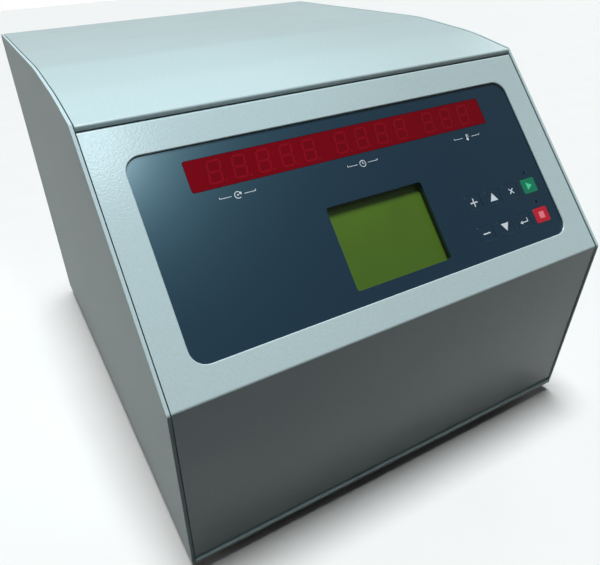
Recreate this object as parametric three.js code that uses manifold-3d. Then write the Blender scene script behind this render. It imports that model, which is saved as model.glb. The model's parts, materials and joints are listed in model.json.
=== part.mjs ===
// Bench centrifuge with a hinged lid, a sloping console and a swing-out rotor.
// Millimetres, X to the right, Y to the back, Z up.
import * as THREE from "three";
import { mergeVertices } from "three/addons/utils/BufferGeometryUtils.js";
import Module from "manifold-3d";

const wasm = await Module();
wasm.setup();

// The chamber, its guard and the drive under it set the size of the cabinet
const bowlRadius = 158;
const bowlWall = 1.5;
const bowlDepth = 165;
const bowlStandoff = 15;
const guardGap = 4;
const guardThickness = 6;
const motorTop = 112;
const motorNoseRise = 4;
const motorClearance = 9;
const chamberSideRoom = 27.9;
const chamberFrontRoom = 142.5;
const chamberRearRoom = 18;
const sidePanelThickness = 2.6;
const lidRise = 36.3;

const chamberRadius = bowlRadius + bowlWall + guardGap + guardThickness;
const chamberY = chamberFrontRoom + chamberRadius;
const motorNoseTop = motorTop + motorNoseRise;
const supportTop = motorNoseTop + motorClearance;
const bowlBottom = supportTop + bowlStandoff;
const deckTop = bowlBottom + bowlDepth;
const cabinetWidth = (chamberRadius + chamberSideRoom + sidePanelThickness) * 2;
const cabinetDepth = chamberY + chamberRadius + chamberRearRoom;
const cabinetHeight = deckTop + lidRise;

// Side profile: the front leans out to the console, which slopes up to the lid
const consoleBottomReach = 17.8;
const consoleBottomHeight = 167.2;
const consoleTopSetback = 105.7;
const consoleTopDrop = 26.8;
const panelNoseRise = 7;
const lidFrontBendSetback = 156;
const lidFrontBendDrop = 11.3;
const lidRearBendSetback = 237.1;
const lidRearBendDrop = 3;
const lidBendRadius = 420;
const profileCornerRadius = 4;

// Sheets and general clearances
const sheetThickness = 1.5;
const bendRadius = 3;
const panelInset = 0.8;
const lidInset = 0.2;
const sideGap = 0.7;
const seatGap = 0.3;
const turnClearance = 0.4;
const cutOverrun = 3;

// Curves are drawn with these counts of steps
const bendSteps = 4;
const tinyRoundSides = 6;
const smallRoundSides = 10;
const mediumRoundSides = 16;
const roundSides = 20;
const fanSides = 32;
const bowlSides = 40;

// Points closer than this are one point of a solid
const mergeDistance = 1e-4;

const finishes = {
  paint: { color: 0xb9cdd2, roughness: 0.42, metalness: 0.0 },
  membrane: { color: 0x2b3c4c, roughness: 0.35, metalness: 0.0 },
  redAcrylic: { color: 0x8c0a1e, roughness: 0.15, metalness: 0.0 },
  lcdGreen: { color: 0x5d7d25, roughness: 0.3, metalness: 0.0 },
  startGreen: { color: 0x147d55, roughness: 0.35, metalness: 0.0 },
  stopRed: { color: 0xc30f2d, roughness: 0.35, metalness: 0.0 },
  circuitBoard: { color: 0x1e5a3c, roughness: 0.5, metalness: 0.0 },
  rubber: { color: 0x1c1d1e, roughness: 0.8, metalness: 0.0 },
  blackPlastic: { color: 0x202124, roughness: 0.5, metalness: 0.0 },
  liner: { color: 0xd9dcd8, roughness: 0.45, metalness: 0.0 },
  stainless: { color: 0xc4c6c4, roughness: 0.3, metalness: 1.0 },
  zincSteel: { color: 0xa7abad, roughness: 0.45, metalness: 0.9 },
  aluminium: { color: 0xb4b7b9, roughness: 0.4, metalness: 1.0 },
  armourSteel: { color: 0x5c6164, roughness: 0.6, metalness: 0.8 },
};

const materials = Object.fromEntries(
  Object.entries(finishes).map(([name, finish]) => [
    name,
    new THREE.MeshStandardMaterial({ name, ...finish }),
  ]),
);

// A closed geometry as a solid that can be cut and joined
function solidOf(geometry) {
  const bare = geometry.index ? geometry.toNonIndexed() : geometry.clone();
  bare.deleteAttribute("normal");
  bare.deleteAttribute("uv");
  const merged = mergeVertices(bare, mergeDistance);
  const corners = new Uint32Array(merged.index.array);
  const places = merged.attributes.position.array;
  const made = new wasm.Manifold(
    new wasm.Mesh({ numProp: 3, vertProperties: places, triVerts: corners }),
  );
  if (made.volume() > 0) return made;
  const turned = corners.map((_, i) => corners[i - (i % 3) + [0, 2, 1][i % 3]]);
  return new wasm.Manifold(
    new wasm.Mesh({ numProp: 3, vertProperties: places, triVerts: turned }),
  );
}

function geometryOf(solid) {
  const mesh = solid.getMesh();
  const geometry = new THREE.BufferGeometry();
  geometry.setAttribute("position", new THREE.BufferAttribute(mesh.vertProperties, 3));
  geometry.setIndex(new THREE.BufferAttribute(mesh.triVerts, 1));
  geometry.computeVertexNormals();
  return geometry;
}

function cut(base, ...tools) {
  const rest = tools.reduce((left, tool) => left.subtract(solidOf(tool)), solidOf(base));
  return geometryOf(rest);
}

function join(...pieces) {
  const whole = pieces.slice(1).reduce((sum, piece) => sum.add(solidOf(piece)), solidOf(pieces[0]));
  return geometryOf(whole);
}

function named(name, geometry, material) {
  const mesh = new THREE.Mesh(geometry, material);
  mesh.name = name;
  return mesh;
}

// Prisms: an outline drawn in two axes and drawn out along the third
const alongX = new THREE.Matrix4().makeBasis(
  new THREE.Vector3(0, 1, 0),
  new THREE.Vector3(0, 0, 1),
  new THREE.Vector3(1, 0, 0),
);
const alongY = new THREE.Matrix4().makeBasis(
  new THREE.Vector3(1, 0, 0),
  new THREE.Vector3(0, 0, 1),
  new THREE.Vector3(0, -1, 0),
);

function prism(shape, from, to) {
  const options = { depth: to - from, bevelEnabled: false };
  return new THREE.ExtrudeGeometry(shape, options).translate(0, 0, from);
}

function prismAlongX(shape, from, to) {
  return prism(shape, from, to).applyMatrix4(alongX);
}

function prismAlongY(shape, from, to) {
  return prism(shape, -to, -from).applyMatrix4(alongY);
}

function block(low, high) {
  const size = high.map((value, i) => value - low[i]);
  const middle = high.map((value, i) => (value + low[i]) / 2);
  return new THREE.BoxGeometry(...size).translate(...middle);
}

function rod(radius, low, high, sides = roundSides) {
  const across = new THREE.CylinderGeometry(radius, radius, high - low, sides);
  return across.rotateX(Math.PI / 2).translate(0, 0, (low + high) / 2);
}

// A turned piece: its profile is given as radius and height, and may run either way round
function turned(profile, sides = roundSides) {
  const points = profile.map(([radius, height]) => new THREE.Vector2(radius, height));
  return geometryOf(solidOf(new THREE.LatheGeometry(points, sides).rotateX(Math.PI / 2)));
}

// Points along an arc, both ends included
function arcPoints(centre, radius, from, to, steps) {
  const points = [];
  for (let i = 0; i <= steps; i += 1) {
    const angle = from + ((to - from) * i) / steps;
    points.push([centre[0] + radius * Math.cos(angle), centre[1] + radius * Math.sin(angle)]);
  }
  return points;
}

// A rectangle with rounded corners, and a circle, as outlines of straight steps
function rectangle(width, height, radius, centre = [0, 0], steps = 2) {
  const right = width / 2 - radius;
  const top = height / 2 - radius;
  const corners = [
    [right, top],
    [-right, top],
    [-right, -top],
    [right, -top],
  ];
  const points = corners.flatMap(([x, y], i) => {
    const from = (Math.PI / 2) * i;
    return arcPoints([centre[0] + x, centre[1] + y], radius, from, from + Math.PI / 2, steps);
  });
  return new THREE.Shape(points.map(([x, y]) => new THREE.Vector2(x, y)));
}

function circle(radius, centre = [0, 0], sides = roundSides) {
  const points = arcPoints(centre, radius, 0, Math.PI * 2 * (1 - 1 / sides), sides - 1);
  return new THREE.Shape(points.map(([x, y]) => new THREE.Vector2(x, y)));
}

// The arc that rounds the corner of a path, as points with the normal on the path's left
function roundedCorner(before, corner, after, radius, steps) {
  const inward = corner.clone().sub(before).normalize();
  const outward = after.clone().sub(corner).normalize();
  const turn = Math.atan2(inward.cross(outward), inward.dot(outward));
  const side = Math.sign(turn);
  const tangent = radius * Math.tan(Math.abs(turn) / 2);
  const start = corner.clone().addScaledVector(inward, -tangent);
  const left = new THREE.Vector2(-inward.y, inward.x);
  const centre = start.clone().addScaledVector(left, side * radius);
  const spots = [];
  for (let step = 0; step <= steps; step += 1) {
    const angle = (turn * step) / steps;
    const normal = left.clone().rotateAround(new THREE.Vector2(), angle);
    const place = centre.clone().addScaledVector(normal, -side * radius);
    spots.push({ place, normal });
  }
  return spots;
}

// A closed outline with each corner rounded by its own radius
function roundedOutline(corners, radii) {
  const count = corners.length;
  const points = corners.flatMap((corner, i) => {
    if (radii[i] === 0) return [corner];
    const before = corners[(i + count - 1) % count];
    const after = corners[(i + 1) % count];
    return roundedCorner(before, corner, after, radii[i], bendSteps).map((spot) => spot.place);
  });
  return new THREE.Shape(points);
}

// A sheet bent along a path: the path is its outer face, and its wall lies to the path's left
function bentSheet(path, thickness, radius) {
  const last = path.length - 1;
  const leftOf = (a, b) => {
    const along = b.clone().sub(a).normalize();
    return new THREE.Vector2(-along.y, along.x);
  };
  const spots = [{ place: path[0], normal: leftOf(path[0], path[1]) }];
  for (let i = 1; i < last; i += 1) {
    spots.push(...roundedCorner(path[i - 1], path[i], path[i + 1], radius, bendSteps));
  }
  spots.push({ place: path[last], normal: leftOf(path[last - 1], path[last]) });
  const outer = spots.map((spot) => spot.place);
  const inner = spots.map((spot) => spot.place.clone().addScaledVector(spot.normal, thickness));
  return new THREE.Shape([...outer, ...inner.reverse()]);
}

// Moves each side of a closed outline inwards; the outline runs anticlockwise
function inset(corners, distance) {
  const count = corners.length;
  return corners.map((corner, i) => {
    const before = corners[(i + count - 1) % count];
    const after = corners[(i + 1) % count];
    const inward = corner.clone().sub(before).normalize();
    const outward = after.clone().sub(corner).normalize();
    const half = Math.atan2(inward.cross(outward), inward.dot(outward)) / 2;
    const bisector = new THREE.Vector2(-inward.y, inward.x).rotateAround(new THREE.Vector2(), half);
    return corner.clone().addScaledVector(bisector, distance / Math.cos(half));
  });
}

// The cabinet's side profile in Y and Z, anticlockwise from the foot of the front
const frontFoot = new THREE.Vector2(0, 0);
const rearFoot = new THREE.Vector2(cabinetDepth, 0);
const rearTop = new THREE.Vector2(cabinetDepth, cabinetHeight);
const lidRearBend = new THREE.Vector2(lidRearBendSetback, cabinetHeight - lidRearBendDrop);
const lidFrontBend = new THREE.Vector2(lidFrontBendSetback, cabinetHeight - lidFrontBendDrop);
const consoleTop = new THREE.Vector2(consoleTopSetback, cabinetHeight - consoleTopDrop);
const consoleBottom = new THREE.Vector2(-consoleBottomReach, consoleBottomHeight);
const upConsole = consoleTop.clone().sub(consoleBottom).normalize();
const consoleAngle = upConsole.angle();
const panelNose = consoleTop.clone().addScaledVector(upConsole, panelNoseRise);
const profile = [frontFoot, rearFoot, rearTop, lidRearBend, lidFrontBend, panelNose, consoleBottom];
const faces = inset(profile, panelInset);
const [faceFoot, faceRearFoot] = faces;
const faceConsoleBottom = faces[faces.length - 1];
const [, , lidRearTop, lidFaceRearBend, lidFaceFrontBend, lidNose] = inset(profile, lidInset);
const consoleLength = consoleTop.distanceTo(consoleBottom);
const faceConsoleTop = faceConsoleBottom.clone().addScaledVector(upConsole, consoleLength);

const innerHalfWidth = cabinetWidth / 2 - sidePanelThickness;
const panelHalfWidth = innerHalfWidth - sideGap;
const rearFaceY = faceRearFoot.x;

const cabinet = new THREE.Group();

// Side panels: plain plates that frame the console and the lid
function makeSidePanels() {
  const small = profileCornerRadius;
  const radii = [small / 2, small, small, lidBendRadius, lidBendRadius, small, small];
  const outline = roundedOutline(profile, radii);
  const plate = () => prismAlongX(outline, 0, sidePanelThickness);
  const left = named("left_side_panel", plate(), materials.paint);
  left.position.x = -cabinetWidth / 2;
  const right = named("right_side_panel", plate(), materials.paint);
  right.position.x = innerHalfWidth;
  cabinet.add(left, right);
}

// Base plate: a tray whose front edge stands a little forward of the front panel
const baseThickness = 2.6;
const baseFrontReach = 1.6;
const baseFlangeHeight = 18;
const baseSlotCount = 6;
const baseSlotWidth = 4;
const baseSlotLength = 60;
const baseSlotPitch = 12;
const baseSlotSideInset = 69.4;
const baseSlotLead = 62;
const baseSlotX = innerHalfWidth - baseSlotSideInset;
const baseSlotY = chamberY - baseSlotLead;

function makeBasePlate() {
  const half = innerHalfWidth - seatGap;
  const rear = rearFaceY - sheetThickness - seatGap;
  const floor = block([-half, -baseFrontReach, 0], [half, rear, baseThickness]);
  const flangeFront = baseFlangeHeight;
  const leftFlange = block([-half, flangeFront, 0], [-half + sheetThickness, rear, baseFlangeHeight]);
  const rightFlange = block([half - sheetThickness, flangeFront, 0], [half, rear, baseFlangeHeight]);
  const slots = [];
  for (let i = 0; i < baseSlotCount; i += 1) {
    const y = baseSlotY + (i - (baseSlotCount - 1) / 2) * baseSlotPitch;
    for (const x of [-baseSlotX, baseSlotX]) {
      const slot = rectangle(baseSlotLength, baseSlotWidth, baseSlotWidth / 2, [x, y]);
      slots.push(prism(slot, -cutOverrun, baseThickness + cutOverrun));
    }
  }
  const tray = cut(join(floor, leftFlange, rightFlange), ...slots);
  cabinet.add(named("base_plate", tray, materials.paint));
}

// Feet: four turned rubber feet with a sunk screw hole
const footHeight = 12;
const footTopRadius = 18;
const footBottomRadius = 15;
const footHoleRadius = 4;
const footHoleDepth = 6;
const footChamfer = 1.5;
const footSideInset = 35;
const footRearInset = 39.5;
const footX = cabinetWidth / 2 - footSideInset;
const footFrontY = 40;
const footRearY = cabinetDepth - footRearInset;

function makeFeet() {
  const top = -seatGap;
  const shape = [
    [0, top],
    [0, -footHeight + footHoleDepth],
    [footHoleRadius, -footHeight + footHoleDepth],
    [footHoleRadius, -footHeight],
    [footBottomRadius, -footHeight],
    [footTopRadius, top - footChamfer],
    [footTopRadius - footChamfer, top],
    [0, top],
  ];
  const spots = {
    front_left_foot: [-footX, footFrontY],
    front_right_foot: [footX, footFrontY],
    rear_left_foot: [-footX, footRearY],
    rear_right_foot: [footX, footRearY],
  };
  for (const [name, [x, y]] of Object.entries(spots)) {
    const foot = named(name, turned(shape, mediumRoundSides), materials.rubber);
    foot.position.set(x, y, 0);
    cabinet.add(foot);
  }
}

// The lid's liner and striker set where the deck's slot and the lock stand
const linerFrontRoom = 18.3;
const strikerSetback = 7;
const linerFrontY = consoleTopSetback + linerFrontRoom;
const strikerY = linerFrontY + strikerSetback;

// Deck: the inner top plate around the chamber's mouth
const deckFrontReach = 1.7;
const deckFrontY = consoleTopSetback - deckFrontReach;
const deckFlangeHeight = 12;
const deckHoleClearance = 1;
const lockSlotWidth = 34;
const lockSlotFrontRoom = 5.5;
const lockSlotRearRoom = 6;

function makeDeckPlate() {
  const half = innerHalfWidth - seatGap;
  const rear = rearFaceY - sheetThickness - seatGap;
  const under = deckTop - sheetThickness;
  const low = deckTop - deckFlangeHeight;
  const plate = block([-half, deckFrontY, low], [half, rear, deckTop]);
  const hollow = block(
    [-half + sheetThickness, deckFrontY - cutOverrun, low - cutOverrun],
    [half - sheetThickness, rear - sheetThickness, under],
  );
  const mouth = rod(bowlRadius + bowlWall + deckHoleClearance, low, deckTop + cutOverrun, bowlSides);
  mouth.translate(0, chamberY, 0);
  const slot = block(
    [-lockSlotWidth / 2, strikerY - lockSlotFrontRoom, low],
    [lockSlotWidth / 2, strikerY + lockSlotRearRoom, deckTop + cutOverrun],
  );
  cabinet.add(named("deck_plate", cut(plate, hollow, mouth, slot), materials.paint));
}

// Console places: x across from the middle, s down the slope from the console's top edge
const windowSideFrame = 22.7;
const windowTop = 23.5;
const windowFoot = 21.2;
const windowWidth = (panelHalfWidth - windowSideFrame) * 2;
const windowBottom = consoleLength - windowFoot;
const windowCornerRadius = 12;
const windowCornerSteps = 6;
const windowHeight = windowBottom - windowTop;
const windowMiddle = (windowBottom + windowTop) / 2;

const consoleFrame = new THREE.Group();
consoleFrame.position.set(0, faceConsoleTop.x, faceConsoleTop.y);
consoleFrame.rotation.x = consoleAngle;
consoleFrame.updateMatrix();
cabinet.add(consoleFrame);

// Front panel: one sheet bent from the foot over the console to the deck
const frontFootFlange = 12;
const consoleReturnDepth = 13;

function makeFrontPanel() {
  const footZ = baseThickness + seatGap;
  const lean = (faceConsoleBottom.x - faceFoot.x) / (faceConsoleBottom.y - faceFoot.y);
  const footY = faceFoot.x + lean * (footZ - faceFoot.y);
  const path = [
    new THREE.Vector2(faceConsoleTop.x + consoleReturnDepth, deckTop + seatGap),
    new THREE.Vector2(faceConsoleTop.x + consoleReturnDepth, faceConsoleTop.y),
    faceConsoleTop,
    faceConsoleBottom,
    new THREE.Vector2(footY, footZ),
    new THREE.Vector2(footY + frontFootFlange, footZ),
  ];
  const sheet = prismAlongX(bentSheet(path, sheetThickness, bendRadius), -panelHalfWidth, panelHalfWidth);
  const middle = [0, -windowMiddle];
  const outline = rectangle(windowWidth, windowHeight, windowCornerRadius, middle, windowCornerSteps);
  const opening = prism(outline, -cutOverrun - sheetThickness, cutOverrun);
  opening.applyMatrix4(consoleFrame.matrix);
  cabinet.add(named("front_panel", cut(sheet, opening), materials.paint));
}

// Membrane panel: behind the window, with holes for the display, the LCD and the keys
const membraneThickness = 2.4;
const membraneOverlap = 7;
const membraneTop = -sheetThickness - seatGap;
const membraneUnder = membraneTop - membraneThickness;
const displaySideFrame = 36.75;
const displayWidth = windowWidth - displaySideFrame * 2;
const displayHeight = 24.3;
const displayX = 1.8;
const displayDrop = 22.5;
const displayS = windowTop + displayDrop;
const displayCornerRadius = 2;
const displayThickness = 2;
const lcdWidth = 90;
const lcdHeight = 66.7;
const lcdFoot = 44.8;
const lcdCornerRadius = 2;
const keyWidth = 16;
const keyHeight = 13;
const keyCornerRadius = 1.5;
const keyCornerSteps = 1;
const keyGap = 0.3;
const keyPitchX = 21.5;
const keyPitchS = 27.6;
const keyEdgeInset = 18.8;
const keyFoot = 21;
const keyLcdPitch = 87.7;
const indicatorRadius = 1.2;
const indicatorRise = 12.3;

const keyNames = [
  ["key_plus", "key_up", "key_clear", "key_start"],
  ["key_minus", "key_down", "key_enter", "key_stop"],
];
const keyFirstX = windowWidth / 2 - keyEdgeInset - keyPitchX * (keyNames[0].length - 1);
const keyLowerS = windowBottom - keyFoot;
const keyUpperS = keyLowerS - keyPitchS;
const lcdX = keyFirstX - keyLcdPitch;
const lcdS = windowBottom - lcdFoot;
const keySpots = keyNames.flatMap((row, r) =>
  row.map((name, c) => ({
    name,
    x: keyFirstX + c * keyPitchX,
    y: -[keyUpperS, keyLowerS][r],
  })),
);

function makeMembranePanel() {
  const width = windowWidth + membraneOverlap * 2;
  const height = windowHeight + membraneOverlap * 2;
  const outline = rectangle(width, height, windowCornerRadius, [0, -windowMiddle]);
  outline.holes.push(
    rectangle(displayWidth, displayHeight, displayCornerRadius, [displayX, -displayS]),
    rectangle(lcdWidth, lcdHeight, lcdCornerRadius, [lcdX, -lcdS]),
  );
  for (const { x, y } of keySpots) {
    const grown = keyGap * 2;
    const hole = rectangle(keyWidth + grown, keyHeight + grown, keyCornerRadius, [x, y], keyCornerSteps);
    outline.holes.push(hole);
  }
  for (const { x, y } of keySpots.filter((spot) => /start|stop/.test(spot.name))) {
    outline.holes.push(circle(indicatorRadius, [x, y + indicatorRise], tinyRoundSides));
  }
  const plate = prism(outline, membraneUnder, membraneTop);
  consoleFrame.add(named("membrane_panel", plate, materials.membrane));
}

function makeKeys() {
  const colours = { key_start: materials.startGreen, key_stop: materials.stopRed };
  for (const { name, x, y } of keySpots) {
    const outline = rectangle(keyWidth, keyHeight, keyCornerRadius, [0, 0], keyCornerSteps);
    const cap = prism(outline, membraneUnder, membraneTop);
    const key = named(name, cap, colours[name] ?? materials.membrane);
    key.position.set(x, y, 0);
    consoleFrame.add(key);
  }
}

// Key board: one small switch stands under each key
const boardThickness = 1.6;
const keyTravel = 0.5;
const switchSize = 6;
const switchHeight = 3.6;
const plungerRadius = 1.7;
const plungerHeight = 1.2;
const keyBoardWidth = 92;
const keyBoardHeight = 56;

function makeKeyBoard() {
  const plungerTop = membraneUnder - keyTravel - seatGap;
  const switchTop = plungerTop - plungerHeight;
  const boardTop = switchTop - switchHeight;
  const middleX = keyFirstX + (keyPitchX * (keyNames[0].length - 1)) / 2;
  const middleY = -(keyUpperS + keyLowerS) / 2;
  const board = block(
    [middleX - keyBoardWidth / 2, middleY - keyBoardHeight / 2, boardTop - boardThickness],
    [middleX + keyBoardWidth / 2, middleY + keyBoardHeight / 2, boardTop],
  );
  const half = switchSize / 2;
  const switches = keySpots.flatMap(({ x, y }) => [
    block([x - half, y - half, boardTop - boardThickness / 2], [x + half, y + half, switchTop]),
    rod(plungerRadius, switchTop - switchHeight / 2, plungerTop, tinyRoundSides).translate(x, y, 0),
  ]);
  consoleFrame.add(named("key_board", join(board, ...switches), materials.circuitBoard));
}

// Display: a red window and, behind it, a board with digits in groups of five, four and three
const digitGap = 4.4;
const digitHeight = 21;
const digitDepth = 8;
const digitGroupGap = 9.5;
const digitSideMargin = 13.55;
const digitGroups = [5, 4, 3];
const digitCount = digitGroups.reduce((sum, n) => sum + n, 0);
const digitRow = displayWidth - digitSideMargin * 2 - (digitGroups.length - 1) * digitGroupGap;
const digitPitch = (digitRow + digitGap) / digitCount;
const digitWidth = digitPitch - digitGap;
const displayBoardMargin = 6;

function makeDisplay() {
  const gap = seatGap * 2;
  const outline = rectangle(displayWidth - gap, displayHeight - gap, displayCornerRadius);
  const pane = named("display_window", prism(outline, 0, displayThickness), materials.redAcrylic);
  pane.position.set(displayX, -displayS, membraneTop - displayThickness);
  consoleFrame.add(pane);

  const digitTop = membraneUnder - seatGap;
  const boardTop = digitTop - digitDepth;
  const halfWidth = displayWidth / 2;
  const halfHeight = displayHeight / 2 + displayBoardMargin;
  const board = block(
    [displayX - halfWidth, -displayS - halfHeight, boardTop - boardThickness],
    [displayX + halfWidth, -displayS + halfHeight, boardTop],
  );
  const digits = [];
  let x = displayX - displayWidth / 2 + digitSideMargin + digitWidth / 2;
  for (const group of digitGroups) {
    for (let i = 0; i < group; i += 1) {
      digits.push(
        block(
          [x - digitWidth / 2, -displayS - digitHeight / 2, boardTop - boardThickness / 2],
          [x + digitWidth / 2, -displayS + digitHeight / 2, digitTop],
        ),
      );
      x += digitPitch;
    }
    x += digitGroupGap;
  }
  consoleFrame.add(named("display_board", join(board, ...digits), materials.circuitBoard));
}

// LCD: the module lies behind a gasket, so its face is sunk below the panel
const gasketWall = 4;
const gasketHeight = 2.5;
const lcdMargin = 8;
const lcdFrameHeight = 6;
const lcdBoardMargin = 4;

function makeLcd() {
  const outline = rectangle(lcdWidth + gasketWall * 2, lcdHeight + gasketWall * 2, lcdCornerRadius);
  outline.holes.push(rectangle(lcdWidth, lcdHeight, lcdCornerRadius));
  const gasketTop = membraneUnder - seatGap;
  const gasket = named("lcd_gasket", prism(outline, -gasketHeight, 0), materials.rubber);
  gasket.position.set(lcdX, -lcdS, gasketTop);

  const faceTop = gasketTop - gasketHeight - seatGap;
  const halfWidth = lcdWidth / 2 + lcdMargin;
  const halfHeight = lcdHeight / 2 + lcdMargin;
  const body = block([-halfWidth, -halfHeight, -lcdFrameHeight], [halfWidth, halfHeight, 0]);
  const board = block(
    [-halfWidth - lcdBoardMargin, -halfHeight, -lcdFrameHeight - boardThickness],
    [halfWidth + lcdBoardMargin, halfHeight, -lcdFrameHeight + boardThickness],
  );
  const module = named("lcd_module", join(body, board), materials.lcdGreen);
  module.position.set(lcdX, -lcdS, faceTop);
  consoleFrame.add(gasket, module);
}

// Lid: a bent shell with a front lip, a liner that closes it below, and a striker
const lidLipRise = 10.2;
const lidLipBottom = deckTop + lidLipRise;
const lidLipSetback = 1.3;
const lidCornerRadius = 2;
const linerRise = 4.6;
const lidLiningBottom = deckTop + linerRise;
const linerRearGap = 6;
const linerDepth = 11;
const linerCornerRadius = 6;
const strikerX = 12;
const strikerThickness = 2;
const strikerDrop = 27;
const strikerFlange = 9;
const strikerWindowWidth = 12;
const strikerWindowHeight = 12;

const lid = new THREE.Group();
cabinet.add(lid);

function lidTopZ(y) {
  const share = (y - lidNose.x) / (lidFaceFrontBend.x - lidNose.x);
  return lidNose.y + share * (lidFaceFrontBend.y - lidNose.y);
}

function makeLidShell() {
  const frontY = consoleTop.x + lidLipSetback;
  const outer = [
    new THREE.Vector2(frontY, lidLipBottom),
    new THREE.Vector2(rearFaceY, lidLipBottom),
    new THREE.Vector2(rearFaceY, lidRearTop.y),
    lidFaceRearBend,
    lidFaceFrontBend,
    new THREE.Vector2(frontY, lidTopZ(frontY)),
  ];
  const walls = inset(outer, sheetThickness);
  const inner = walls.map((corner) => corner.clone());
  inner[0].y = lidLipBottom - cutOverrun;
  inner[1].y = lidLipBottom - cutOverrun;
  const innerCorner = lidCornerRadius - sheetThickness;
  const outerRadii = [0, 0, lidCornerRadius, lidBendRadius, lidBendRadius, lidCornerRadius];
  const innerRadii = [0, 0, innerCorner, lidBendRadius, lidBendRadius, innerCorner];
  const half = panelHalfWidth;
  const skin = prismAlongX(roundedOutline(outer, outerRadii), -half, half);
  const hollowHalf = half - sheetThickness;
  const hollow = prismAlongX(roundedOutline(inner, innerRadii), -hollowHalf, hollowHalf);
  lid.add(named("lid_shell", cut(skin, hollow), materials.paint));
}

function makeLidLiner() {
  const half = panelHalfWidth - sheetThickness - seatGap;
  const rearY = rearFaceY - sheetThickness - linerRearGap;
  const middleY = (linerFrontY + rearY) / 2;
  const length = rearY - linerFrontY;
  const outline = rectangle(half * 2, length, linerCornerRadius, [0, middleY]);
  const innerHalf = half - sheetThickness;
  const innerCorner = linerCornerRadius - sheetThickness;
  const innerOutline = rectangle(innerHalf * 2, length - sheetThickness * 2, innerCorner, [0, middleY]);
  const pan = prism(outline, lidLiningBottom, lidLiningBottom + linerDepth);
  const hollow = prism(
    innerOutline,
    lidLiningBottom + sheetThickness,
    lidLiningBottom + linerDepth + cutOverrun,
  );
  lid.add(named("lid_liner", cut(pan, hollow), materials.liner));
}

function makeStriker() {
  const top = lidLiningBottom - seatGap;
  const flange = block(
    [-strikerX, strikerY, top - strikerThickness],
    [strikerX, strikerY + strikerFlange, top],
  );
  const tongue = block(
    [-strikerX, strikerY, top - strikerDrop],
    [strikerX, strikerY + strikerThickness, top],
  );
  const middle = lockBoltZ;
  const window = block(
    [-strikerWindowWidth / 2, strikerY - cutOverrun, middle - strikerWindowHeight / 2],
    [strikerWindowWidth / 2, strikerY + cutOverrun, middle + strikerWindowHeight / 2],
  );
  lid.add(named("lid_striker", cut(join(flange, tongue), window), materials.zincSteel));
}

// Lid lock: the bolt slides back through the striker's window
const lockBoltDrop = 14.5;
const lockBoltZ = deckTop - lockBoltDrop;
const lockBoltSize = 9;
const lockBoltTipGap = 4;
const lockBoltLength = 14;
const lockBoltTip = 2.5;
const lockHousingX = 27;
const lockHousingDepth = 16.5;
const lockHousingRoom = 6.5;
const lockHousingRearY = strikerY - lockHousingRoom;
const lockHousingFrontY = lockHousingRearY - lockHousingDepth;
const lockHousingDrop = 33;
const lockHousingBottom = deckTop - lockHousingDrop;
const lockSolenoidDrop = 26;

function makeLock() {
  const top = deckTop - sheetThickness - seatGap;
  const body = block(
    [-lockHousingX, lockHousingFrontY, lockHousingBottom],
    [lockHousingX, lockHousingRearY, top],
  );
  const bore = lockBoltSize / 2 + seatGap;
  const channel = block(
    [-bore, lockHousingFrontY + sheetThickness, lockBoltZ - bore],
    [bore, lockHousingRearY + cutOverrun, lockBoltZ + bore],
  );
  const middleY = (lockHousingFrontY + lockHousingRearY) / 2;
  const coilRadius = (lockHousingRearY - lockHousingFrontY) / 2;
  const coilLow = lockHousingBottom - lockSolenoidDrop;
  const coil = rod(coilRadius, coilLow, lockHousingBottom + cutOverrun, mediumRoundSides);
  coil.translate(0, middleY, 0);
  const housing = cut(join(body, coil), channel);
  cabinet.add(named("lock_housing", housing, materials.blackPlastic));

  const tipY = strikerY - lockBoltTipGap;
  const half = lockBoltSize / 2;
  const outline = new THREE.Shape([
    new THREE.Vector2(tipY - lockBoltLength, lockBoltZ - half),
    new THREE.Vector2(tipY, lockBoltZ - half),
    new THREE.Vector2(tipY, lockBoltZ + half - lockBoltTip),
    new THREE.Vector2(tipY - lockBoltTip, lockBoltZ + half),
    new THREE.Vector2(tipY - lockBoltLength, lockBoltZ + half),
  ]);
  const bolt = prismAlongX(outline, -half, half);
  cabinet.add(named("lock_bolt", bolt, materials.zincSteel));
}

// Chamber: a deep bowl hung by its rim from the deck, inside a guard ring
const bowlCornerRadius = 22;
const bowlCornerSteps = 3;
const bowlRimReach = 10;
const bowlRimRadius = bowlRadius + bowlRimReach;
const bootHoleRadius = 25;
const sealInset = 2;
const sealWidth = 11;
const sealInnerRadius = bowlRadius + sealInset;
const sealOuterRadius = sealInnerRadius + sealWidth;

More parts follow.
